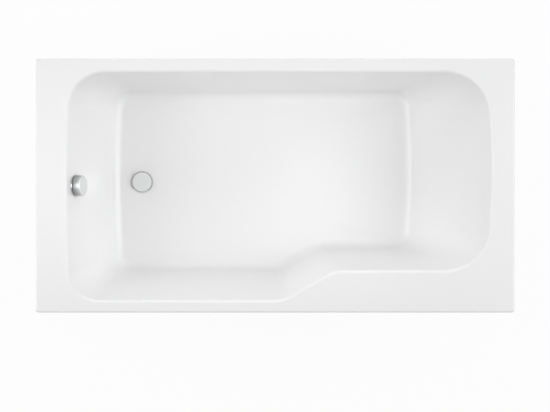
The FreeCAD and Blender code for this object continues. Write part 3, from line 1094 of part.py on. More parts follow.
def make_battens():
    """Wood strips laminated under the flat rim."""
    wall_gap = "(Sizes.wall_thickness + Sizes.batten_gap)"
    skirt = "(Sizes.bath_width / 2 - Sizes.skirt_thickness - Sizes.batten_gap)"
    left = "(Sizes.batten_inset - Sizes.bath_length / 2)"
    right = "(Sizes.bath_length / 2 - Sizes.batten_inset)"
    ledge_start = "Sizes.rim_step_x + Sizes.batten_step_gap"
    for name, x, length, y, width in (
            ("back", left, f"{right} - {left}",
             f"({BACK_Y} + {wall_gap})", f"{skirt} - {BACK_Y} - {wall_gap}"),
            ("front", left, f"Sizes.rim_step_x - Sizes.batten_step_gap - {left}",
             f"-{skirt}", f"{skirt} + {FRONT_Y} - {wall_gap}"),
            ("ledge", ledge_start, f"{right} - ({ledge_start})",
             f"({LEDGE_Y} - {wall_gap} - Sizes.ledge_batten_width)", "Sizes.ledge_batten_width")):
        batten = doc.addObject("Part::Box", f"rim_batten_{name}")
        batten.setExpression("Length", length)
        batten.setExpression("Width", width)
        batten.setExpression("Height", "Sizes.batten_height")
        place(keep(f"rim_batten_{name}", batten), x, y, f"{RIM_UNDER_Z} - Sizes.batten_height")


def check_and_write():
    """Stops on a failed feature or an unsound shape, then writes every sub-part."""
    doc.recompute()
    failed = [o.Name for o in doc.Objects if "Invalid" in o.State or "Error" in o.State]
    unsound = [n for n, o in parts.items() if o.Shape.isNull() or not o.Shape.isValid() or not o.Shape.Solids]
    if failed or unsound:
        raise RuntimeError(f"failed features {failed}, unsound sub-parts {unsound}")
    os.makedirs("parts", exist_ok=True)
    for label, thing in parts.items():
        thing.Shape.exportStep(f"parts/{label}.step")
        print(f"{label}: {len(thing.Shape.Solids)} solid(s), {thing.Shape.Volume / 1000:.1f} cm3")


make_bath_shell()
make_base_board()
make_battens()
make_cradle()
make_middle_foot()
make_waste()
make_trap()
make_overflow()
make_hose()
make_hose_fittings()
check_and_write()
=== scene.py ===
# %% [markdown]
# # A shower bath in white acrylic
# The bath is a moulded shell on a steel cradle, with a pop-up waste, a trap and an overflow. The
# solid model already has every piece in its place, so this lesson dresses it: the pieces that show
# are worked out again as smooth surfaces, and every piece gets a finish made of shader nodes.
# Lengths are in metres, and the half sections of turned pieces in millimetres.

# %% Load the solid model
import json
import math

import bmesh
import bpy
import numpy as np
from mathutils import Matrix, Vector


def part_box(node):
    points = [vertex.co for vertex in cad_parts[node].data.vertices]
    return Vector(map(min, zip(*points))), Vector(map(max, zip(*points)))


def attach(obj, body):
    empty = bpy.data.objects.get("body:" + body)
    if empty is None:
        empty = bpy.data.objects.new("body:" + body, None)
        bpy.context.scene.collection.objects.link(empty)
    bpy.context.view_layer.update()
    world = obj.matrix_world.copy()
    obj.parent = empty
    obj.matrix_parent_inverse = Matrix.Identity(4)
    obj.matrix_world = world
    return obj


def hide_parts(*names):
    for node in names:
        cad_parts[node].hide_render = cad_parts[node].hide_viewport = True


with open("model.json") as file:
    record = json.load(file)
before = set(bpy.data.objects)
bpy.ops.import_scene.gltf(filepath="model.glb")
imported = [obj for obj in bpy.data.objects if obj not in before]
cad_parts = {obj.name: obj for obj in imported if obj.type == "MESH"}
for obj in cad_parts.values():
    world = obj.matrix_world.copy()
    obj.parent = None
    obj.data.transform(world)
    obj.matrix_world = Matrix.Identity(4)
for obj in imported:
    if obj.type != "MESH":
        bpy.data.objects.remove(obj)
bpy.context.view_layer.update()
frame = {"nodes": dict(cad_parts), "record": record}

nodes = frame["nodes"]

# %% [markdown]
# ## Writing shader maths as Python
# A finish is a small network of nodes. Wiring it by hand hides the idea, so one class wraps a
# socket: adding or multiplying two of them makes the Math node. Every other node comes from
# `Finish.node`.


# %% Sockets that can be added and multiplied
class Sock:
    """An output socket; sums, differences, products and quotients with it add Math nodes."""

    def __init__(self, finish, socket):
        self.finish, self.socket = finish, socket

    def _join(self, operation, first, second):
        return self.finish.node("ShaderNodeMath", {"operation": operation}, {0: first, 1: second})

    def __add__(self, other):
        return self._join("ADD", self, other)

    __radd__ = __add__

    def __sub__(self, other):
        return self._join("SUBTRACT", self, other)

    def __rsub__(self, other):
        return self._join("SUBTRACT", other, self)

    def __mul__(self, other):
        return self._join("MULTIPLY", self, other)

    __rmul__ = __mul__

    def __truediv__(self, other):
        return self._join("DIVIDE", self, other)

    def __rtruediv__(self, other):
        return self._join("DIVIDE", other, self)


# %% A material under construction
class Finish:
    """A material, or the world, whose nodes are added one by one."""

    def __init__(self, name, kind="materials"):
        self.made = getattr(bpy.data, kind).new(name)
        self.made.use_nodes = True
        self.tree = self.made.node_tree
        self.tree.nodes.clear()
        self.place = self.node("ShaderNodeTexCoord", out="Object")

    def node(self, kind, settings=None, sockets=None, out=0):
        """Adds a node: settings first, then values or links of its sockets. Gives one output."""
        made = self.tree.nodes.new(kind)
        for name, value in (settings or {}).items():
            if name == "stops":
                ramp = made.color_ramp
                while len(ramp.elements) < len(value):
                    ramp.elements.new(1.0)
                for element, (position, colour) in zip(ramp.elements, value):
                    element.position, element.color = position, (*colour, 1.0)
            else:
                setattr(made, name, value)
        for key, value in (sockets or {}).items():
            if isinstance(value, Sock):
                self.tree.links.new(value.socket, made.inputs[key])
            else:
                made.inputs[key].default_value = value
        return Sock(self, made.outputs[out]) if made.outputs else None

    def noise(self, scale, detail=3.0, roughness=0.5, where=None, distortion=0.0, out=0):
        """Cloudy values with about scale clouds to the metre."""
        sockets = {"Vector": where or self.place, "Scale": scale, "Detail": detail,
                   "Roughness": roughness, "Distortion": distortion}
        return self.node("ShaderNodeTexNoise", None, sockets, out)

    def cells(self, scale, where=None):
        """A random colour for each cell of a pattern like broken flakes."""
        sockets = {"Vector": where or self.place, "Scale": scale}
        return self.node("ShaderNodeTexVoronoi", {"feature": "F1"}, sockets, "Color")

    def stretched(self, x, y, z):
        """Object coordinates stretched along the axes, for grain."""
        return self.node("ShaderNodeMapping", None, {"Vector": self.place, "Scale": (x, y, z)})

    def ramp(self, value, *stops):
        """A colour picked by a value from stops of position and colour."""
        return self.node("ShaderNodeValToRGB", {"stops": stops}, {"Fac": value})

    def step(self, value, low, high):
        """Goes smoothly from 0 at low to 1 at high."""
        sockets = {"Value": value, "From Min": low, "From Max": high}
        return self.node("ShaderNodeMapRange", {"interpolation_type": "SMOOTHSTEP"}, sockets)

    def blend(self, share, first, second):
        """Mixes two colours or places."""
        sockets = {0: share, 6: first, 7: second}
        return self.node("ShaderNodeMix", {"data_type": "RGBA"}, sockets, 2)

    def bump(self, height, strength, distance):
        """A normal that is tilted by a height."""
        sockets = {"Height": height, "Strength": strength, "Distance": distance}
        return self.node("ShaderNodeBump", None, sockets)

    def vector(self, operation, first, second, out="Vector"):
        """Vector maths on two places."""
        sockets = {0: first, 1: second}
        return self.node("ShaderNodeVectorMath", {"operation": operation}, sockets, out)

    def along(self, origin, axis):
        """How far a point lies from an origin along an axis."""
        away = self.vector("SUBTRACT", self.place, tuple(origin))
        return self.vector("DOT_PRODUCT", away, tuple(axis), "Value")

    def off_axis(self, x, y):
        """How far a point lies from an upright axis."""
        flat = self.vector("MULTIPLY", self.place, (1.0, 1.0, 0.0))
        return self.vector("DISTANCE", flat, (x, y, 0.0), "Value")

    def surface(self, **sockets):
        """Ends the material in one Principled shader; underscores in the names are spaces."""
        sockets = {name.replace("_", " "): value for name, value in sockets.items()}
        shader = self.node("ShaderNodeBsdfPrincipled", None, sockets)
        self.node("ShaderNodeOutputMaterial", None, {"Surface": shader})
        return self.made


# %% [markdown]
# ## The finishes
# Sanitary acrylic is a clear white with a deep gloss and a very slight waviness from the forming.
# Behind it lies a sprayed coat of resin and chopped glass strands. Chrome is nearly a mirror, zinc
# plate is cloudy, and the plastics of the trap and feet are moulded, with a fine grain. Pictures
# could give such surfaces too, but noise has no seams and stays sharp at any distance.


# %% White acrylic and its fibre backing
def white_acrylic():
    f = Finish("white_acrylic")
    cloud = f.noise(2.2, 2.0)
    wave = f.noise(9.0, 2.0)
    colour = f.ramp(cloud, (0.3, (0.925, 0.926, 0.927)), (0.7, (0.935, 0.935, 0.934)))
    return f.surface(Base_Color=colour, Roughness=0.26 + 0.08 * f.noise(30.0, 4.0), IOR=1.49,
                     Normal=f.bump(wave, 0.04, 0.004), Coat_Weight=0.1, Coat_Roughness=0.08)


def fibre_backing():
    """Two crossing sets of strands under patches of thicker and thinner resin."""
    f = Finish("fibre_backing")
    strands = f.noise(70.0, 4.0, 0.6, f.stretched(1.0, 0.16, 1.0), 2.0)
    crossed = f.noise(70.0, 4.0, 0.6, f.stretched(0.16, 1.0, 0.6), 2.0)
    pile = strands * 0.5 + crossed * 0.5
    patch = f.noise(7.0, 3.0)
    colour = f.ramp(0.6 * pile + 0.4 * patch,
                    (0.32, (0.52, 0.5, 0.44)), (0.62, (0.74, 0.73, 0.69)))
    return f.surface(Base_Color=colour, Roughness=0.42 + 0.3 * patch,
                     Normal=f.bump(pile, 0.55, 0.002))


# %% Metals
def polished_chrome():
    f = Finish("polished_chrome")
    haze = f.noise(60.0, 3.0)
    colour = f.ramp(f.noise(14.0), (0.3, (0.62, 0.63, 0.64)), (0.7, (0.66, 0.66, 0.66)))
    return f.surface(Base_Color=colour, Metallic=1.0, Roughness=0.1 + 0.08 * haze)


def zinc_plate():
    """Hot-dipped zinc: flakes of slightly different greys under a cloudy tone."""
    f = Finish("zinc_plate")
    patch = f.noise(25.0, 4.0, 0.6)
    tone = f.ramp(patch, (0.3, (0.46, 0.47, 0.48)), (0.7, (0.63, 0.63, 0.62)))
    flaked = f.blend(0.35, tone, f.cells(90.0))
    grey = f.node("ShaderNodeHueSaturation", None, {"Saturation": 0.06, "Color": flaked})
    return f.surface(Base_Color=grey, Metallic=1.0, Roughness=0.28 + 0.22 * patch,
                     Normal=f.bump(f.noise(300.0, 2.0), 0.08, 0.0005))


def bright_zinc():
    """Thin electroplated zinc on screws and nuts: even, with faint streaks."""
    f = Finish("bright_zinc")
    streak = f.noise(240.0, 3.0, 0.5, f.stretched(1.0, 1.0, 0.2))
    colour = f.ramp(f.noise(50.0, 3.0), (0.3, (0.5, 0.51, 0.53)), (0.7, (0.6, 0.61, 0.62)))
    return f.surface(Base_Color=colour, Metallic=1.0, Roughness=0.26 + 0.16 * streak)


def turned_brass():
    f = Finish("turned_brass")
    rings = f.noise(160.0, 2.0, 0.5, f.stretched(0.15, 0.15, 3.0))
    colour = f.ramp(f.noise(40.0), (0.3, (0.62, 0.44, 0.19)), (0.7, (0.76, 0.58, 0.29)))
    return f.surface(Base_Color=colour, Metallic=1.0, Roughness=0.2 + 0.15 * rings)


# %% Plastics, rubber and wood
def moulded_plastic(name, dark, pale, gloss, grain):
    """A moulded plastic: a slow change of tone and a fine spark-eroded grain."""
    f = Finish(name)
    colour = f.ramp(f.noise(18.0, 3.0), (0.3, dark), (0.7, pale))
    fine = f.noise(900.0, 2.0)
    return f.surface(Base_Color=colour, Roughness=gloss + 0.12 * fine,
                     Normal=f.bump(fine, grain, 0.0004))


def softwood():
    """Year rings drawn out along X, with finer fibres over them."""
    f = Finish("softwood")
    rings = f.noise(30.0, 4.0, 0.55, f.stretched(0.06, 1.0, 1.0), 0.6)
    fibre = f.noise(220.0, 2.0, 0.5, f.stretched(0.03, 1.0, 1.0))
    colour = f.ramp(rings + 0.25 * fibre, (0.45, (0.66, 0.47, 0.28)), (0.62, (0.8, 0.63, 0.43)),
                    (0.75, (0.52, 0.33, 0.17)))
    return f.surface(Base_Color=colour, Roughness=0.55 + 0.2 * fibre,
                     Normal=f.bump(fibre, 0.3, 0.0006))


def chipboard():
    """Chips with ragged borders, because the place of each point is stirred a little first."""
    f = Finish("chipboard")
    swirl = f.noise(40.0, 2.0, out="Color")
    chip = f.cells(210.0, f.blend(0.03, f.stretched(1.0, 2.2, 1.4), swirl))
    tone = f.node("ShaderNodeSeparateColor", None, {"Color": chip})
    resin = f.noise(6.0, 4.0)
    fibre = f.noise(420.0, 3.0, 0.6, f.stretched(0.3, 1.0, 1.0))
    colour = f.ramp(0.5 * tone + 0.2 * resin + 0.3 * fibre, (0.15, (0.36, 0.24, 0.13)),
                    (0.5, (0.6, 0.45, 0.28)), (0.85, (0.74, 0.6, 0.41)))
    return f.surface(Base_Color=colour, Roughness=0.5 + 0.3 * resin,
                     Normal=f.bump(tone, 0.25, 0.0006))


# %% One finish for each material of the bath
acrylic, backing = white_acrylic(), fibre_backing()
chrome, zinc, plated, brass = polished_chrome(), zinc_plate(), bright_zinc(), turned_brass()
white_plastic = moulded_plastic("moulded_white", (0.74, 0.74, 0.72), (0.8, 0.8, 0.79), 0.3, 0.12)
hose_plastic = moulded_plastic("moulded_grey", (0.5, 0.51, 0.52), (0.58, 0.585, 0.59), 0.34, 0.1)
foot_plastic = moulded_plastic("moulded_foot", (0.022, 0.022, 0.024), (0.04, 0.04, 0.042),
                               0.42, 0.3)
black_plastic = moulded_plastic("moulded_black", (0.016, 0.016, 0.018), (0.03, 0.03, 0.032),
                                0.36, 0.15)
seal_rubber = moulded_plastic("seal_rubber", (0.012, 0.012, 0.012), (0.028, 0.027, 0.026),
                              0.62, 0.35)
pine, board = softwood(), chipboard()
print("finishes:", ", ".join(m.name for m in bpy.data.materials))

# %% [markdown]
# ## From arrays to a mesh
# Every new surface below is a grid: rows of points that each go once round. Pulling a form into
# shape by hand would lose its sizes on the way, so the points are worked out first. One function
# then turns such arrays into a mesh, closes the rows into rings and, if asked, closes the ends
# with a point.


# %% The mesh builder
def add_object(name, data):
    """An object with that mesh, lamp or camera, put into the scene."""
    made = bpy.data.objects.new(name, data)
    bpy.context.scene.collection.objects.link(made)
    return made


def grid_mesh(name, grids, finish, body, loop=False, caps=False, sharp=40.0):
    """One piece from grids of points, each rows x points x 3: quads join the points and close
    every row into a ring. loop joins the last row to the first; caps close the first and the last
    row with a fan to their mean. Edges that bend by more than sharp, in degrees, stay sharp."""
    points, faces, total = [], [], 0
    for rows in grids:
        count_v, count_u = rows.shape[:2]
        flat = rows.reshape(-1, 3)
        index = total + np.arange(count_v * count_u).reshape(count_v, count_u)
        low = index if loop else index[:-1]
        high = np.roll(index, -1, axis=0) if loop else index[1:]
        quads = np.stack([low, np.roll(low, -1, axis=1), np.roll(high, -1, axis=1), high], axis=-1)
        faces += quads.reshape(-1, 4).tolist()
        for row, order in ((0, 1), (-1, -1)) if caps else ():
            ring, pole = index[row], np.full(count_u, total + len(flat))
            flat = np.vstack([flat, rows[row].mean(axis=0)])
            faces += np.stack([np.roll(ring, -order), ring, pole], axis=-1).tolist()
        points.append(flat)
        total += len(flat)
    mesh = bpy.data.meshes.new(name)
    mesh.from_pydata(np.concatenate(points), [], faces)
    work = bmesh.new()
    work.from_mesh(mesh)
    bmesh.ops.recalc_face_normals(work, faces=work.faces)
    work.to_mesh(mesh)
    work.free()
    mesh.shade_smooth()
    mesh.set_sharp_from_angle(angle=math.radians(sharp))
    mesh.materials.append(finish)
    piece = add_object(name, mesh)
    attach(piece, body)
    return piece


# %% Unit vectors, rounded corners and turns
def unit(vectors):
    """Vectors over their lengths."""
    return vectors / np.linalg.norm(vectors, axis=-1, keepdims=True)


def rounding(corner, to_first, to_second, radius, count):
    """Arcs that round the corners between two lines. Each line leaves its corner along a unit
    vector; the arc touches both at radius / tan(half the angle between them)."""
    half = np.arccos(np.clip((to_first * to_second).sum(-1, keepdims=True), -1, 1)) / 2
    centre = corner + unit(to_first + to_second) * radius / np.sin(half)
    start = unit(corner + to_first * radius / np.tan(half) - centre)
    end = unit(corner + to_second * radius / np.tan(half) - centre)
    side = unit(end - start * (start * end).sum(-1, keepdims=True))
    turn = np.linspace(0, 1, count)[:, None, None] * (math.pi - 2 * half)
    return centre + radius * (np.cos(turn) * start + np.sin(turn) * side)


def turns(count):
    """Angles at even steps once round."""
    return np.arange(count) * 2 * math.pi / count


def ease(share):
    """Goes from 0 to 1 with level ends, as 3 s^2 - 2 s^3."""
    share = np.clip(share, 0, 1)
    return share ** 2 * (3 - 2 * share)


# %% [markdown]
# ## The shell
# The shell is formed from one sheet, so it is one surface here too. In plan the basin is twelve
# lines and arcs that meet without a corner: three straight sides, four corners, two bowed ends and
# the slanting step with an arc at each end. The same plan is drawn at the rim and, smaller, at the
# floor; straight walls join the two, and the edges are rounded. A subdivided box would give soft
# forms sooner, but not these exact arcs. The sheet is the acrylic, and a second, lower layer is
# the fibre backing.

# %% Sizes of the shell
LENGTH, WIDTH, RIM_Z, BASIN_DEPTH = 1.7, 0.9, 0.58, 0.413
WALL, ACRYLIC, SKIRT, SKIRT_WALL = 0.008, 0.0035, 0.04, 0.006
CORNER_ROUND, RIM_ROUND, BASIN_ROUND, FLOOR_ROUND = 0.01, 0.005, 0.012, 0.04
LEAST_RIM_ROUND, LEAST_BASIN_ROUND = 0.0008, 0.003
FLOOR_Z, FALL = RIM_Z - BASIN_DEPTH, math.tan(math.radians(0.7))
LEFT_BOW, RIGHT_BOW, STEP_TURN = math.radians(3), math.radians(5), math.radians(30)
RIM_PLAN = dict(back=0.403, front=-0.407, ledge=-0.3, left=-0.732, right=0.762,
                back_radius=0.135, front_radius=0.106, right_radius=0.16,
                step=0.121, step_radius=0.12)
FLOOR_PLAN = dict(back=0.35, front=-0.311, ledge=-0.231, left=-0.602, right=0.5,
                  back_radius=0.066, front_radius=0.066, right_radius=0.052,
                  step=0.098, step_radius=0.07)
WASTE = np.array([-0.504, 0.014])
WASTE_HOLE, WASTE_SEAT, WASTE_SINK, WASTE_WALL = 0.026, 0.0395, 0.002, 0.01
WASTE_SEAT_Z = FLOOR_Z + WASTE[0] * FALL - WASTE_SINK
print(f"waste seat at {WASTE_SEAT_Z:.4f} m")


# %% The plan of the basin
def plan_pieces(plan, grow):
    """The plan's lines, as start and end, and arcs, as centre, radius and two angles. They go from
    the right end of the back side round by the waste end. grow moves the plan outwards. A bowed
    end is an arc whose radius is half its chord / sin(bow)."""
    back, right = plan["back"] + grow, plan["right"] + grow
    front, ledge, left = plan["front"] - grow, plan["ledge"] - grow, plan["left"] - grow
    back_r, front_r = plan["back_radius"] + grow, plan["front_radius"] + grow
    right_r, step_r = plan["right_radius"] + grow, plan["step_radius"]
    back_x = left + back_r * math.cos(LEFT_BOW)
    front_x = left + front_r * math.cos(LEFT_BOW)
    right_x = right - right_r * math.cos(RIGHT_BOW)
    slant = np.array([math.cos(STEP_TURN), math.sin(STEP_TURN)])
    square = np.array([slant[1], -slant[0]])
    rise = (ledge - front) / 2 - step_r * (1 - slant[0])
    half = rise * slant[0] / slant[1] + step_r * slant[1]
    low = np.array([plan["step"] - half, front + grow + step_r])
    high = np.array([plan["step"] + half, ledge + grow - step_r])
    bow_top = back - back_r * (1 - math.sin(LEFT_BOW))
    bow_foot = front + front_r * (1 - math.sin(LEFT_BOW))
    left_r = (bow_top - bow_foot) / 2 / math.sin(LEFT_BOW)
    left_bow = (left + left_r * math.cos(LEFT_BOW), (bow_top + bow_foot) / 2, left_r)
    end_r = ((back - ledge) / 2 - right_r * (1 - math.sin(RIGHT_BOW))) / math.sin(RIGHT_BOW)
    right_bow = (right - end_r * math.cos(RIGHT_BOW), (back + ledge) / 2, end_r)
    q = math.pi / 2
    return (((right_x, back), (back_x, back)),
            (back_x, back - back_r, back_r, q, 2 * q - LEFT_BOW),
            (*left_bow, 2 * q - LEFT_BOW, 2 * q + LEFT_BOW),
            (front_x, front + front_r, front_r, 2 * q + LEFT_BOW, 3 * q),
            ((front_x, front), (low[0], front)),
            (*low, step_r + grow, 3 * q, 3 * q + STEP_TURN),
            (low + (step_r + grow) * square, high - (step_r - grow) * square),
            (*high, step_r - grow, q + STEP_TURN, q),
            ((high[0], ledge), (right_x, ledge)),
            (right_x, ledge + right_r, right_r, 3 * q, 4 * q - RIGHT_BOW),
            (*right_bow, -RIGHT_BOW, RIGHT_BOW),
            (right_x, back - right_r, right_r, RIGHT_BOW, q))


def basin_plan(plan, grow, where):
    """Points of the plan and its outward normals. The whole part of where picks one of the twelve
    pieces, the rest goes along it: evenly on a line, by equal turns on an arc."""
    points, normals = np.zeros((2, len(where), 2))
    for number, piece in enumerate(plan_pieces(plan, grow)):
        mine = np.floor(where) == number
        along = (where[mine] - number)[:, None]
        if len(piece) == 2:
            start, end = np.array(piece[0]), np.array(piece[1])
            points[mine] = start + along * (end - start)
            ahead = unit(end - start)
            normals[mine] = (ahead[1], -ahead[0])
        else:
            turn = piece[3] + along * (piece[4] - piece[3])
            spoke = np.hstack([np.cos(turn), np.sin(turn)])
            points[mine] = np.array(piece[:2]) + piece[2] * spoke
            normals[mine] = spoke * np.sign(piece[4] - piece[3])
    return points, normals


# %% The plan of the rim
TINY = 1e-12


def rim_rectangle(directions, inset):
    """Where rays from the middle meet the rim's rounded rectangle, and the outward normals there.
    A ray meets the nearer side at half / |direction|, or the arc of a corner."""
    half = np.array([LENGTH / 2 - inset, WIDTH / 2 - inset])
    radius = CORNER_ROUND - inset
    reach = (half / np.maximum(np.abs(directions), TINY)).min(axis=1)
    flat = directions * reach[:, None]
    centre = np.sign(directions) * (half - radius)
    along = (directions * centre).sum(1)
    curved = along + np.sqrt(np.maximum(along ** 2 - (centre ** 2).sum(1) + radius ** 2, 0))
    arc = directions * curved[:, None]
    corner = (np.abs(arc) > half - radius).all(axis=1)[:, None]
    points = np.where(corner, arc, flat)
    side = np.abs(np.abs(flat) - half) < TINY
    normals = np.where(corner, unit(points - centre), unit(np.sign(flat) * side + TINY))
    return points, normals


# %% Where the rings are sampled
PIECE_SAMPLES = (40, 44, 30, 44, 26, 24, 16, 24, 26, 44, 30, 44)
CORNER_SAMPLES, DENSE_SAMPLES = 9, 20000
ring_places = np.concatenate([number + np.arange(count) / count
                              for number, count in enumerate(PIECE_SAMPLES)])
dense = np.linspace(0, len(PIECE_SAMPLES), DENSE_SAMPLES, endpoint=False)
dense_points, _ = basin_plan(RIM_PLAN, 0.0, dense)
dense_angle = np.unwrap(np.arctan2(dense_points[:, 1], dense_points[:, 0]))
corner_turn = np.linspace(0, math.pi / 2, CORNER_SAMPLES)
corner_x = LENGTH / 2 - CORNER_ROUND * (1 - np.cos(corner_turn))
corner_y = WIDTH / 2 - CORNER_ROUND * (1 - np.sin(corner_turn))
corner_angle = np.concatenate([np.arctan2(corner_y * sy, corner_x * sx)
                               for sx in (1, -1) for sy in (1, -1)])
corner_angle = dense_angle[0] + np.mod(corner_angle - dense_angle[0], 2 * math.pi)
corner_places = np.interp(corner_angle, dense_angle, dense)
ring_places = np.sort(np.concatenate([ring_places, corner_places]))
print(f"{len(ring_places)} points on each ring of the shell")

# %% One face of the sheet
FLOOR_ARC, BASIN_ARC, RIM_ARC = 13, 11, 7
FLOOR_ROWS = (0.03, 0.2, 0.4, 0.6, 0.8, 0.95, 0.985)
WALL_ROWS = (0.015, 0.06, 0.2, 0.4, 0.6, 0.8, 0.94, 0.985)
RIM_ROWS, SKIRT_ROWS = (0.04, 0.3, 0.65, 0.96), (0.06, 0.5, 1.0)
SEAT_INSET, SEAT_SLOPE, SEAT_MARGIN = 0.001, 0.0005, 0.002


def between(first, second, shares):
    """Rows of points on the straight way from one ring to another."""
    return first + np.array(shares)[:, None, None] * (second - first)


def waste_seat(depth, spokes):
    """Rings round the waste, at a radius along each spoke: the hole and the sunken seat, which are
    level, and the floor next to it, which falls to the waste."""
    def ring(radius, level=None):
        xy = WASTE + radius * spokes
        z = FLOOR_Z - depth + xy[:, 0] * FALL if level is None else np.full(len(xy), level)
        return np.column_stack([xy, z])

    level = WASTE_SEAT_Z - WASTE_WALL * (depth / WALL)
    edge = WASTE_SEAT + depth
    return np.stack([ring(WASTE_HOLE, level), ring(edge - SEAT_INSET, level), ring(edge, level),
                     ring(edge + SEAT_SLOPE), ring(edge + SEAT_MARGIN)])


def rim_edge(depth, directions):
    """The rounded outer edge of the rim, and the hem where the skirt under it ends."""
    edge, out = rim_rectangle(directions, SKIRT_WALL * (depth / WALL))
    out = np.column_stack([out, np.zeros(len(out))])
    top = np.column_stack([edge, np.full(len(edge), RIM_Z - depth)])
    down = np.array([0.0, 0.0, -1.0])
    lip = rounding(top, -out, down, max(RIM_ROUND - depth, LEAST_RIM_ROUND), RIM_ARC)
    return lip, top + down * (SKIRT - depth)


def sheet_face(depth):
    """The rings of the moulded sheet at that depth below its visible face, from the waste hole out
    over the floor, up the wall, over the rim and down the skirt."""
    rim_xy, rim_out = basin_plan(RIM_PLAN, depth, ring_places)
    floor_xy, floor_out = basin_plan(FLOOR_PLAN, depth, ring_places)
    rim = np.column_stack([rim_xy, np.full(len(rim_xy), RIM_Z)])
    floor = np.column_stack([floor_xy, FLOOR_Z - depth + floor_xy[:, 0] * FALL])
    up = unit(rim - floor)
    rim_point = rim - up * (depth / up[:, 2:])
    inwards = unit(np.column_stack([-floor_out, -floor_out[:, 0] * FALL]))
    outwards = np.column_stack([rim_out, np.zeros(len(rim_out))])
    brow_round = max(BASIN_ROUND - depth, LEAST_BASIN_ROUND)
    foot = rounding(floor, inwards, up, FLOOR_ROUND + depth, FLOOR_ARC)
    brow = rounding(rim_point, -up, outwards, brow_round, BASIN_ARC)
    seat = waste_seat(depth, unit(foot[0][:, :2] - WASTE))
    lip, hem = rim_edge(depth, unit(rim_xy))
    return np.concatenate([seat, between(seat[-1], foot[0], FLOOR_ROWS), foot,
                           between(foot[-1], brow[0], WALL_ROWS), brow,
                           between(brow[-1], lip[0], RIM_ROWS), lip,
                           between(lip[-1], hem, SKIRT_ROWS)])


# %% The acrylic sheet and the fibre backing
def sheet_layer(name, high, low, finish):
    """The closed layer between two depths: one face out and the other back."""
    rows = np.concatenate([sheet_face(high), sheet_face(low)[::-1]])
    return grid_mesh(name, [rows], finish, "bath", loop=True, sharp=50.0)


basin_sheet = sheet_layer("basin_sheet", 0.0, ACRYLIC, acrylic)
backing_coat = sheet_layer("backing_coat", ACRYLIC, WALL, backing)
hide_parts("bath_shell")
print(f"shell: {len(basin_sheet.data.polygons)} faces in each layer")

# %% [markdown]
# ## Turned pieces
# The knob, the plug and the moulded back of the overflow are round. Such a piece is its half
# section carried once round an axis, with every corner of the section rounded a little, because a
# truly sharp edge catches no light. The Screw modifier could turn a section as well; with arrays
# the water notch of the knob is only a change of heights.

# %% Half sections and their turning
# The overflow's axes go down the leaning end wall, across it and into the basin. A round face
# starts at the radius POLE, and a fan closes it.
OVERFLOW_LEAN = math.radians(17.25597)
OVERFLOW = np.array([-0.7178715, 0.0, 0.51])
LEAN_X, LEAN_Z = math.cos(OVERFLOW_LEAN), math.sin(OVERFLOW_LEAN)
OVERFLOW_AXES = np.array([[LEAN_Z, 0, -LEAN_X], [0, 1, 0], [LEAN_X, 0, LEAN_Z]])
WASTE_POINT = np.array([*WASTE, WASTE_SEAT_Z])
POLE = 0.3


def soft_section(corners, radii, steps):
    """A line of (radius, height) corners in millimetres whose inner corners are rounded to the
    given radii; its points come out in metres. The line of a ring, which has to close, starts and
    ends on one of the straight sides."""
    corners = np.array(corners, float)
    runs = [corners[:1]]
    for corner, before, after, radius in zip(corners[1:-1], corners[:-2], corners[2:], radii):
        to_first, to_second = unit(before - corner)[None], unit(after - corner)[None]
        runs.append(rounding(corner[None], to_first, to_second, radius, steps)[:, 0]
                    if radius else corner[None])
    runs.append(corners[-1:])
    return np.concatenate(runs) / 1000


def turned_rows(section, count=96):
    """Each point of the section, (radius, height), goes round as radius x (cos, sin), height."""
    turn = turns(count)
    circle = np.stack([np.cos(turn), np.sin(turn)], axis=-1)
    flat = section[:, None, :1] * circle
    level = np.broadcast_to(section[:, None, 1:], flat[..., :1].shape)
    return np.concatenate([flat, level], axis=-1)


def put(rows, origin, axes=np.eye(3)):
    """Carries rows from a piece's own axes into the bath's frame."""
    return origin + rows @ axes


# %% The overflow knob
KNOB_BORE, KNOB_HUB, KNOB_INSIDE, KNOB_OUTSIDE, KNOB_FACE = 4.15, 7, 33, 36, 31
KNOB_FOOT, HUB_FOOT, BORE_END, KNOB_ROOF, KNOB_FRONT = 6, 9, 28, 31, 34
KNOB_REACH, KNOB_SKIRT = 0.04, 0.03
NOTCH_LIFT, NOTCH_TOP, NOTCH_FADE = 0.006, 0.016, 0.01
NOTCH_HALF, NOTCH_EDGE = math.radians(27), math.radians(5)


def knob_chrome_painted_shade():
    """Satin chrome with painted shade, darkest on the grip next to the wall, and a painted
    reflection that makes the front pale.
    """
    f = Finish("knob_chrome_painted_shade")
    reach = f.along(OVERFLOW, OVERFLOW_AXES[2]) / KNOB_REACH
    # The ramp paints shade on the grip near the wall and a pale painted reflection on the front.
    colour = f.ramp(reach, (0.35, (0.36, 0.364, 0.368)), (0.5, (0.4, 0.404, 0.408)),
                    (0.62, (0.49, 0.494, 0.498)), (0.79, (0.52, 0.524, 0.528)),
                    (0.84, (0.74, 0.744, 0.748)))
    return f.surface(Base_Color=colour, Metallic=1.0, Roughness=0.43 + 0.06 * f.noise(60.0, 3.0))


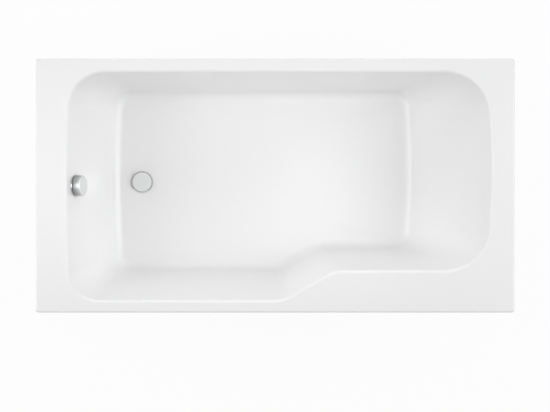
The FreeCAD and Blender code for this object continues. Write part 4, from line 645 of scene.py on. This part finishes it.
def knob_rows():
    """A hollow cap: bore, hub, inside of the skirt, outside, and a front that is slightly crowned.
    The foot of the skirt rises over an arc at the lower side, where the water goes in."""
    section = soft_section(
        [(KNOB_BORE, BORE_END), (KNOB_BORE, HUB_FOOT), (KNOB_HUB, HUB_FOOT), (KNOB_HUB, KNOB_ROOF),
         (KNOB_INSIDE, KNOB_ROOF), (KNOB_INSIDE, KNOB_FOOT), (KNOB_OUTSIDE, KNOB_FOOT),
         (KNOB_OUTSIDE, KNOB_FRONT), (KNOB_FACE, KNOB_FRONT + 0.1), (POLE, KNOB_FRONT + 0.6)],
        (0, 0.3, 1, 1, 0.8, 0.8, 2.5, 0), 7)
    rows = turned_rows(section, 144)
    turn = np.arctan2(rows[..., 1], rows[..., 0])
    radius = np.hypot(rows[..., 0], rows[..., 1])
    lift = NOTCH_LIFT * ease((NOTCH_HALF - np.abs(turn)) / NOTCH_EDGE)
    share = np.clip((NOTCH_TOP - rows[..., 2]) / NOTCH_FADE, 0, 1)
    rows[..., 2] += lift * share * (radius > KNOB_SKIRT)
    return rows


knob = grid_mesh("knob_cap", [put(knob_rows(), OVERFLOW, OVERFLOW_AXES)], knob_chrome_painted_shade(), "knob",
                 caps=True)
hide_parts("overflow_knob")

# %% The plug
PLUG_BORE, PLUG_RADIUS, PLUG_EDGE, PLUG_FACE = 3.15, 38, 35, 32
PLUG_UNDER, BORE_ROOF, PLUG_TOP = 7.2, 9.7, 12.2
SHADED_EDGE_FROM, SHADED_EDGE_TO = 0.0342, 0.0362


def plug_chrome_painted_shade():
    """A satin top whose rounded edge is darker with painted shade, which makes a dark ring, and
    rougher.
    """
    f = Finish("plug_chrome_painted_shade")
    # Painted shade darkens the rounded edge into a dark ring; the same band is rougher.
    painted_shade_and_dull_edge = f.step(f.off_axis(*WASTE), SHADED_EDGE_FROM, SHADED_EDGE_TO)
    colour = f.blend(painted_shade_and_dull_edge, (0.6, 0.604, 0.608, 1.0), (0.4, 0.404, 0.408, 1.0))
    return f.surface(Base_Color=colour, Metallic=1.0,
                     Roughness=0.28 + 0.06 * f.noise(60.0, 3.0) + 0.2 * painted_shade_and_dull_edge)


plug_section = soft_section(
    [(PLUG_BORE, BORE_ROOF), (PLUG_BORE, PLUG_UNDER), (PLUG_RADIUS - 1, PLUG_UNDER),
     (PLUG_RADIUS, PLUG_UNDER + 1), (PLUG_RADIUS, PLUG_TOP), (PLUG_EDGE, PLUG_TOP + 0.1),
     (PLUG_FACE, PLUG_TOP + 0.18), (POLE, PLUG_TOP + 0.4)],
    (0.2, 0.4, 0.4, 2.0, 0, 0), 8)
plug = grid_mesh("plug_top", [put(turned_rows(plug_section, 144), WASTE_POINT)], plug_chrome_painted_shade(),
                 "plug", caps=True)
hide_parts("plug_cap")

# %% The moulded back of the overflow
CUP_BACK = -49.8
BOSS_Z, PAN_Z, RING_Z, HIDDEN_Z = CUP_BACK - 1.6, CUP_BACK - 0.3, CUP_BACK - 1.4, CUP_BACK + 0.3
BACK_BOSS, BOSS_FOOT, RING_FOOT, RING_INSIDE, RING_OUTSIDE = 7.5, 8.5, 23.6, 25, 29.3
back_section = soft_section(
    [(POLE, BOSS_Z), (BACK_BOSS, BOSS_Z), (BOSS_FOOT, PAN_Z), (RING_FOOT, PAN_Z),
     (RING_INSIDE, RING_Z), (RING_OUTSIDE, RING_Z), (RING_OUTSIDE, HIDDEN_Z), (POLE, HIDDEN_Z)],
    (0.6, 0.6, 0.8, 0.6, 0.9, 0), 6)
back_rows = put(turned_rows(back_section, 120), OVERFLOW, OVERFLOW_AXES)
grid_mesh("overflow_back", [back_rows], white_plastic, "bath", caps=True)
print("turned: knob, plug and the back of the overflow")

# %% [markdown]
# ## Screws and nuts
# Under the bath, the solid model keeps threads plain. A thread is a radius that swings with height
# and angle together, and a nut is a hexagon whose corners a cone has cut. Bump could only hint at
# them, and a thread shows in the outline of its rod, so both are geometry.

# %% Threaded rods of the feet
LEGS = ("waste_front", "waste_back", "head_front", "head_back", "middle")
ROD_RADIUS, THREAD_DEPTH, THREAD_PITCH, THREAD_END = 0.006, 0.0009, 0.00175, 0.0015
ROWS_PER_PITCH = 6


def thread_rows(low, high, count=20):
    """At angle a and height z, the phase z / pitch - a / turn goes from one crest (0) over the
    root (a half) to the next; the flanks are straight, crest and root are flat, and the thread
    runs out at both ends."""
    rows = int((high - low) / THREAD_PITCH * ROWS_PER_PITCH) + 1
    height = np.linspace(low, high, rows)[:, None]
    turn = np.arange(count) / count
    phase = height / THREAD_PITCH - turn
    valley = np.clip(2.5 * np.abs(2 * (phase - np.round(phase))) - 0.75, 0, 1)
    end = np.clip(np.minimum(height - low, high - height) / THREAD_END, 0, 1)
    reach = ROD_RADIUS - THREAD_DEPTH * (1 - end) - THREAD_DEPTH * end * valley
    circle = 2 * math.pi * turn
    return np.stack([reach * np.cos(circle), reach * np.sin(circle), height + 0 * reach], axis=-1)


for leg in LEGS:
    low, high = np.array(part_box(f"foot_rod_{leg}"))
    axis = np.array([*(low + high)[:2] / 2, 0.0])
    rod = grid_mesh(f"screw_rod_{leg}", [axis + thread_rows(low[2], high[2])], plated,
                    f"leg_{leg}", caps=True, sharp=25.0)
    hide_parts(f"foot_rod_{leg}")
print(f"rods: {len(LEGS)} with a thread")

# %% Hexagon nuts of the feet
NUT_FLATS, NUT_BORE, NUT_FACE, NUT_SINK = 0.019, 0.00615, 0.97, 0.0008


def nut_rows(flats, height, bore, count=72):
    """The hexagon's outline at an angle is half the flats over the cosine to the nearest flat.
    Both faces are cut by a cone of 30 degrees, so that the outline is lower at the corners. The
    rows go from the bore over one face and the outline to the other face."""
    turn = turns(count)
    outline = flats / 2 / np.cos(np.mod(turn, math.pi / 3) - math.pi / 6)
    face, sink = np.full(count, NUT_FACE * flats / 2), np.full(count, bore + NUT_SINK)
    drop, base = (outline - face) * math.tan(math.pi / 6), np.zeros(count)
    reach = np.stack([sink - NUT_SINK, sink, face, outline])
    level = np.stack([base + NUT_SINK, base, base, drop])
    reach = np.concatenate([reach, reach[::-1]])
    level = np.concatenate([level, height - level[::-1]])
    return np.stack([reach * np.cos(turn), reach * np.sin(turn), level], axis=-1)


for node in ("foot_top_nuts", "foot_lock_nuts"):
    low, high = np.array(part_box(node))
    axes = [np.array(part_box(f"foot_rod_{leg}")).mean(axis=0) for leg in LEGS[:4]]
    grids = [nut_rows(NUT_FLATS, high[2] - low[2], NUT_BORE) + (*axis[:2], low[2]) for axis in axes]
    nuts = grid_mesh(node.replace("foot", "cut"), grids, plated, "bath", loop=True,
                     sharp=25.0)
    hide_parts(node)
    print(f"{nuts.name}: {len(grids)} nuts")

# %% Union nuts of the trap
UNION_THREAD, UNION_OUTSIDE, UNION_MOUTH = 24.45, 28.45, 20.3
UNION_SHOULDER, UNION_TOP = 17, 20
FLUTES, FLUTE_DEPTH, FLUTE_SHAPE, FLUTE_RADIUS, FLUTE_EDGE = 16, 0.045, 0.7, 0.0265, 0.0008
FLUTE_MIDDLE, FLUTE_HALF, FLUTE_END = 0.01, 0.009, 0.0025
TO_BACK = np.array([[1, 0, 0], [0, 0, -1], [0, 1, 0]])


def union_rows():
    """A turned nut whose outside has rounded flutes for the hand: there the radius shrinks with
    the cosine of the angle times their number, where that is above 0."""
    section = soft_section(
        [(UNION_THREAD, 8), (UNION_THREAD, 0), (UNION_OUTSIDE, 0), (UNION_OUTSIDE, UNION_TOP),
         (UNION_MOUTH, UNION_TOP), (UNION_MOUTH, UNION_SHOULDER), (UNION_THREAD, UNION_SHOULDER),
         (UNION_THREAD, 9)],
        (0.4, 1.2, 1.6, 0.5, 0.3, 0.3), 5)
    rows = turned_rows(section, 192)
    turn = np.arctan2(rows[..., 1], rows[..., 0])
    radius = np.hypot(rows[..., 0], rows[..., 1])
    outside = np.clip((radius - FLUTE_RADIUS) / FLUTE_EDGE, 0, 1)
    within = np.clip((FLUTE_HALF - np.abs(rows[..., 2] - FLUTE_MIDDLE)) / FLUTE_END, 0, 1)
    flute = np.clip(np.cos(FLUTES * turn), 0, 1) ** FLUTE_SHAPE
    rows[..., :2] *= 1 - FLUTE_DEPTH * (outside * within * flute)[..., None]
    return rows


for end, axes in (("inlet", np.eye(3)), ("outlet", TO_BACK)):
    low, high = np.array(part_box(f"trap_{end}_nut"))
    x, _, z = (low + high) / 2
    origin = np.array([*WASTE, low[2]] if end == "inlet" else [x, low[1], z])
    nut = grid_mesh(f"union_nut_{end}", [put(union_rows(), origin, axes)], white_plastic, "bath",
                    loop=True)
    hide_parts(f"trap_{end}_nut")
print(f"union nuts: 2, with {FLUTES} flutes each")

# %% [markdown]
# ## Hose and cable
# A ribbed hose leads from the overflow to the waste, with the sheathed control cable beside it, and
# both are held at their ends. A curve with a bevel makes a plain tube, but the ribs need a radius
# that changes on the way. So a NURBS curve gives only the line, and rings of points are carried
# along it. A clamp holds the hose at each end: a band, a worm screw and its housing.


# %% The line of the hose and of the cable
def smooth_line(points, spacing):
    """Evenly spaced points on the quadratic NURBS curve that has the points as its polygon."""
    data = bpy.data.curves.new("line", "CURVE")
    data.dimensions, data.resolution_u = "3D", 48
    spline = data.splines.new("NURBS")
    spline.points.add(len(points) - 1)
    spline.points.foreach_set("co", np.column_stack([points, np.ones(len(points))]).ravel())
    spline.order_u, spline.use_endpoint_u = 3, True
    holder = bpy.data.objects.new("line", data)
    mesh = bpy.data.meshes.new_from_object(holder)
    line = np.zeros(3 * len(mesh.vertices))
    mesh.vertices.foreach_get("co", line)
    line = line.reshape(-1, 3)
    way = np.concatenate([[0], np.cumsum(np.linalg.norm(np.diff(line, axis=0), axis=1))])
    along = np.linspace(0, way[-1], int(way[-1] / spacing) + 1)
    bpy.data.objects.remove(holder)
    return along, np.column_stack([np.interp(along, way, line[:, axis]) for axis in range(3)])


def tube_rows(line, reach, count):
    """A ring at every point of a line that lies in an upright plane: reach is the radius there,
    one ring axis is the bath's Y, the other is square to it and to the line."""
    ahead = unit(np.gradient(line, axis=0))
    across = np.array([0.0, 1.0, 0.0])
    rise = np.cross(ahead, across)
    turn = turns(count)[:, None]
    ring = np.cos(turn) * across + np.sin(turn) * rise[:, None]
    return line[:, None] + np.reshape(reach, (-1, 1, 1)) * ring


RUN_DEPTH, RUN_BEND, RUN_DROP, RUN_LEVEL = -0.0318, 0.058, 0.039, 0.001
RUN_END_Z = WASTE_SEAT_Z - RUN_DROP
RUN_CORNER = (OVERFLOW[2] + RUN_DEPTH * LEAN_Z - RUN_END_Z) / LEAN_X
RUN_TRIM = 2 * RUN_BEND * math.tan((math.pi / 2 - OVERFLOW_LEAN) / 2)


def run_points(start, end_x, side):
    """The run's polygon at one Y, side: down the end wall, round a corner, level to the waste."""
    ways = (start, RUN_CORNER - RUN_TRIM, RUN_CORNER)
    down = np.array([[way, side, RUN_DEPTH] for way in ways])
    points = put(down, OVERFLOW, OVERFLOW_AXES)
    level_x = min(points[2, 0] + RUN_TRIM, end_x - RUN_LEVEL)
    return np.vstack([points, (level_x, side, RUN_END_Z), (end_x, side, RUN_END_Z)])


# %% The ribbed hose
HOSE_START, HOSE_END_X, HOSE_SPACING = 0.0363, -0.5403, 0.00083
HOSE_BORE, HOSE_OUTER, HOSE_RIB, HOSE_CUFF = 0.016, 0.0178, 0.0017, 0.024
RIB_PITCH, RIB_CENTRE, RIB_HALF, RIB_FLANK = 0.01, 0.625, 0.375, 0.2
along, line = smooth_line(run_points(HOSE_START, HOSE_END_X, 0.0), HOSE_SPACING)
ribbed = along[-1] - 2 * HOSE_CUFF
ribs = int(ribbed / RIB_PITCH)
phase = np.clip((along - HOSE_CUFF) / ribbed, 0, 1) * ribs
away = np.abs(np.mod(phase, 1) - RIB_CENTRE)
outside = HOSE_OUTER + HOSE_RIB * ease((RIB_HALF - away) / RIB_FLANK)
hose_rows = np.concatenate([tube_rows(line, outside, 56), tube_rows(line[::-1], HOSE_BORE, 56)])
hose = grid_mesh("ribbed_hose", [hose_rows], hose_plastic, "bath", loop=True)
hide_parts("overflow_hose")
print(f"hose: {ribs} ribs on {along[-1]:.3f} m")

# %% The control cable
RUN_TOP, RUN_FOOT = 0.038, -0.548
CABLE_SIDE, CABLE_RADIUS, CABLE_SPACING = 0.025, 0.0025, 0.004
along, line = smooth_line(run_points(RUN_TOP, RUN_FOOT, CABLE_SIDE), CABLE_SPACING)
cable = grid_mesh("sheathed_cable", [tube_rows(line, CABLE_RADIUS, 24)], black_plastic, "bath",
                  caps=True)
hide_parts("control_cable")
print(f"cable: {along[-1]:.3f} m")

# %% The parts of a hose clamp
BAND_INSIDE, BAND_OUTSIDE, BAND_WIDTH = 17.95, 19.15, 10
SHANK_RADIUS, HEAD_FLATS, HEAD_HEIGHT, HEAD_POLE = 0.0026, 0.0075, 0.004, 0.001
SCREW_LENGTH, HOUSING_LENGTH, HOUSING_WIDTH, HOUSING_HEIGHT = 0.014, 0.011, 0.009, 0.0068
HOUSING_DRAW, HOUSING_LEVELS = (0.8, 0.95, 1.0), (0.0, 0.0004, 0.0012)
band_section = soft_section(
    [(BAND_INSIDE, 5), (BAND_INSIDE, 0), (BAND_OUTSIDE, 0), (BAND_OUTSIDE, BAND_WIDTH),
     (BAND_INSIDE, BAND_WIDTH), (BAND_INSIDE, 5.1)],
    (0.2, 0.5, 0.5, 0.2), 4)


def screw_rows():
    """A worm screw with a hexagon head: the shank's radius, then the head's outline."""
    shank = turned_rows(np.array([(SHANK_RADIUS, 0.0), (SHANK_RADIUS, SCREW_LENGTH)]), 72)
    head = nut_rows(HEAD_FLATS, HEAD_HEIGHT, HEAD_POLE)[2:6]
    return np.concatenate([shank, head + (0, 0, SCREW_LENGTH)])


def housing_rows(count=48):
    """A pressed box round the worm screw: rings of a superellipse of the fourth power, which has
    the signed roots of cosine and sine as its points, drawn in at both ends."""
    wave = np.stack([np.cos(turns(count)), np.sin(turns(count))], axis=-1)
    ring = np.sign(wave) * np.sqrt(np.abs(wave)) * (HOUSING_HEIGHT / 2, HOUSING_WIDTH / 2)
    draw_in = np.array(HOUSING_DRAW + HOUSING_DRAW[::-1])[:, None, None]
    near = np.array(HOUSING_LEVELS)
    level = np.concatenate([near, HOUSING_LENGTH - near[::-1]])[:, None, None]
    return np.concatenate([draw_in * ring, np.broadcast_to(level, (len(level), count, 1))], axis=-1)


# %% The clamps on the hose
SADDLE_OUT, SADDLE_DOWN, SCREW_BACK, HOUSING_BACK = 0.0217, 0.005, 0.008, 0.006
upper_seat = put(np.array([RUN_TOP, 0, RUN_DEPTH]), OVERFLOW, OVERFLOW_AXES)
lower_seat = np.array([RUN_FOOT, 0, RUN_END_Z])
bands, screws, housings = [], [], []
for seat, out, down in ((upper_seat, -OVERFLOW_AXES[2], OVERFLOW_AXES[0]),
                        (lower_seat, np.array([0, 0, 1.0]), np.array([-1.0, 0, 0]))):
    side = np.cross(down, out)
    saddle = seat + SADDLE_OUT * out + SADDLE_DOWN * down
    crosswise = np.stack([out, down, side])
    bands.append(put(turned_rows(band_section), seat, np.stack([out, side, down])))
    screws.append(put(screw_rows(), saddle - SCREW_BACK * side, crosswise))
    housings.append(put(housing_rows(), saddle - HOUSING_BACK * side, crosswise))
clamp_bands = grid_mesh("clamp_bands", bands, plated, "bath", loop=True)
grid_mesh("clamp_screws", screws, plated, "bath", caps=True, sharp=25.0)
grid_mesh("clamp_housings", housings, plated, "bath", caps=True)
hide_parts("hose_clamps")
print(f"clamps on the hose: {len(bands)}")

# %% [markdown]
# ## The opening of the overflow
# The end wall has a round opening with a flat seat for the rosette, and a boss behind it takes the
# clamping. The opening leans with the wall and crosses the rings of the sheet, so it isn't worked
# into the grid: a Boolean cuts it, and its result becomes the mesh.

# %% The opening and the boss of the overflow
OVERFLOW_HOLE, OVERFLOW_SEAT, SEAT_LEVEL, BEHIND, IN_FRONT = 26, 37, -0.8, -15, 5
BOSS_FRONT, BOSS_BACK = -6, -10.8


def bore(piece, radius, low, high):
    """Cuts a round hole across the end wall, between two heights over its face."""
    section = np.array([(radius, low), (radius, high)]) / 1000
    rows = put(turned_rows(section), OVERFLOW, OVERFLOW_AXES)
    cutter = grid_mesh("cutter", [rows], None, "bath", caps=True)
    cut = piece.modifiers.new("bore", "BOOLEAN")
    cut.operation, cut.solver, cut.object = "DIFFERENCE", "EXACT", cutter
    scene_now = bpy.context.evaluated_depsgraph_get()
    mesh = bpy.data.meshes.new_from_object(piece.evaluated_get(scene_now))
    piece.modifiers.clear()
    piece.data = mesh
    bpy.data.objects.remove(cutter)


boss_section = soft_section(
    [(OVERFLOW_HOLE, -9), (OVERFLOW_HOLE, BOSS_FRONT), (OVERFLOW_SEAT, BOSS_FRONT),
     (OVERFLOW_SEAT, BOSS_BACK), (OVERFLOW_HOLE, BOSS_BACK), (OVERFLOW_HOLE, -9.1)],
    (0, 0, 1, 0), 5)
boss_rows = put(turned_rows(boss_section), OVERFLOW, OVERFLOW_AXES)
grid_mesh("overflow_boss", [boss_rows], backing, "bath", loop=True)
for layer in (basin_sheet, backing_coat):
    bore(layer, OVERFLOW_SEAT, SEAT_LEVEL, IN_FRONT)
    bore(layer, OVERFLOW_HOLE, BEHIND, IN_FRONT)
    print(f"{layer.name}: {len(layer.data.polygons)} faces with the opening cut")

# %% [markdown]
# ## Finishes on the solid pieces
# The other pieces keep their solid meshes, because their plain forms are right as they are. Each
# takes the finish of its slot in the record; small screws and the lever's pin are bright zinc.

# %% Dress the solid pieces
SLOT_FINISH = dict(acrylic=acrylic, board=board, batten=pine, chrome=chrome, zinc_steel=zinc,
                   foot_plastic=foot_plastic, white_plastic=white_plastic, rubber=seal_rubber,
                   brass=brass, hose_plastic=hose_plastic, black_plastic=black_plastic)
NODE_FINISH = dict(cradle_screws=plated, middle_foot_screws=plated, lever_pin=plated)
slot_of = {entry["node"]: entry["material_slot"] for entry in frame["record"]["subparts"]}
for name, piece in nodes.items():
    piece.data.materials.clear()
    piece.data.materials.append(NODE_FINISH.get(name, SLOT_FINISH[slot_of[name]]))
print(f"dressed {len(nodes)} solid pieces")

# %% [markdown]
# ## The studio
# The photograph looks straight down on the bath against plain white. A big floor takes the soft
# shadow; it lies as far down as the feet can be screwed, so that no foot goes through it. The
# world is a white surround that lights the bath only a little. Most light comes from wide soft
# lamps at both ends and at the back, with a faint one at the front. A smaller lamp high on the
# left, a small one close overhead and a narrow beam on the waste end add to it.


# %% Floor and surround
def shows_background(f):
    """1 for what the camera sees directly, in a mirror or through glass, and 0 for the light on
    the object."""
    rays = ("Is Camera Ray", "Is Glossy Ray", "Is Transmission Ray", "Diffuse Depth")
    direct, mirrored, through, bounced = (f.node("ShaderNodeLightPath", out=ray) for ray in rays)
    return f.step(direct + mirrored + through - bounced, 0.0, 1.0)


def studio_floor():
    """A pale matte floor that the camera sees as nearly plain white."""
    f = Finish("studio_floor")
    tone = f.ramp(f.noise(3.0), (0.3, (0.86, 0.86, 0.86)), (0.7, (0.88, 0.88, 0.88)))
    matte = f.node("ShaderNodeBsdfDiffuse", None, {"Color": tone})
    white = f.node("ShaderNodeEmission", None, {"Color": (1, 1, 1, 1), "Strength": 1.0})
    share = 0.95 * shows_background(f)
    both = f.node("ShaderNodeMixShader", None, {0: share, 1: matte, 2: white})
    f.node("ShaderNodeOutputMaterial", None, {"Surface": both})
    return f.made


def white_surround(level):
    """A world that looks white but lights the object at a level."""
    f = Finish("white_surround", "worlds")
    strength = level + (1 - level) * shows_background(f)
    sky = f.node("ShaderNodeBackground", None, {"Color": (1, 1, 1, 1), "Strength": strength})
    f.node("ShaderNodeOutputWorld", None, {"Surface": sky})
    return f.made


FOOT_TRAVEL, FLOOR_GAP, FLOOR_HALF, SURROUND_LEVEL = 0.03, 0.001, 9.0, 0.2
floor_z = -FOOT_TRAVEL - FLOOR_GAP
corners = FLOOR_HALF * np.array([(-1, -1), (1, -1), (1, 1), (-1, 1)])
floor_mesh = bpy.data.meshes.new("studio_floor")
floor_mesh.from_pydata(np.column_stack([corners, np.full(4, floor_z)]), [], [(0, 1, 2, 3)])
floor_mesh.materials.append(studio_floor())
studio = add_object("studio_floor", floor_mesh)
bpy.context.scene.world = white_surround(SURROUND_LEVEL)
print(f"floor: {2 * FLOOR_HALF:.0f} m square at {floor_z:.3f} m")

# %% Lamps
MIDDLE, WASTE_END = np.array([0.0, 0.0, 0.4]), np.array([-0.6, 0, 0.35])
FAR, WIDE = 3.6, 2.6


def soft_lamp(name, bearing, height, distance, size, watts, aim=MIDDLE, spread=180):
    """A round lamp at a bearing and a height, in degrees, seen from the point that it is aimed at.
    A grid in front of it keeps its light within the spread."""
    bearing, height = math.radians(bearing), math.radians(height)
    lamp = bpy.data.lights.new(name, "AREA")
    lamp.shape, lamp.size, lamp.energy, lamp.spread = "DISK", size, watts, math.radians(spread)
    stand = add_object(name, lamp)
    flat = math.cos(height)
    towards = (math.cos(bearing) * flat, math.sin(bearing) * flat, math.sin(height))
    stand.location = aim + distance * np.array(towards)
    stand.rotation_euler = (math.pi / 2 - height, 0, bearing + math.pi / 2)


soft_lamp("right_end", 0, 40, FAR, WIDE, 55.8)
soft_lamp("left_end", 180, 30, FAR, WIDE, 50.6)
soft_lamp("back", 90, 25, FAR, WIDE, 32.5)
soft_lamp("front", 270, 32, FAR, WIDE, 3.8)
soft_lamp("high_left", 180, 50, FAR, 1.8, 10.4)
soft_lamp("overhead", 0, 80, 1.0, 0.4, 1.2)
soft_lamp("waste_end", 0, 66, 2.0, 0.6, 0.24, aim=WASTE_END, spread=40)
print("lamps:", ", ".join(lamp.name for lamp in bpy.data.lights))

# %% [markdown]
# ## Camera
# The camera hangs high over the middle of the rim and leans a little to the front. Its lens makes
# one pixel of the picture cover as much of the rim as in the photograph.

# %% Camera
CAMERA_RISE, CAMERA_LEAN = 6.0, 0.072
SENSOR, IMAGE_WIDTH, RIM_PIXEL, FAR_END = 36.0, 550, 0.003545, 60.0
camera_data = bpy.data.cameras.new("from_above")
camera_data.sensor_width = SENSOR
camera_data.lens = SENSOR * (CAMERA_RISE / RIM_PIXEL) / IMAGE_WIDTH
camera_data.clip_end = FAR_END
camera = add_object("from_above", camera_data)
camera.location = (0.0, 0.0, RIM_Z + CAMERA_RISE)
camera.rotation_euler = (-math.atan2(CAMERA_LEAN, CAMERA_RISE), 0, 0)
bpy.context.scene.camera = camera
bpy.context.scene.view_settings.view_transform = "Standard"
print(f"lens: {camera_data.lens:.1f} mm")
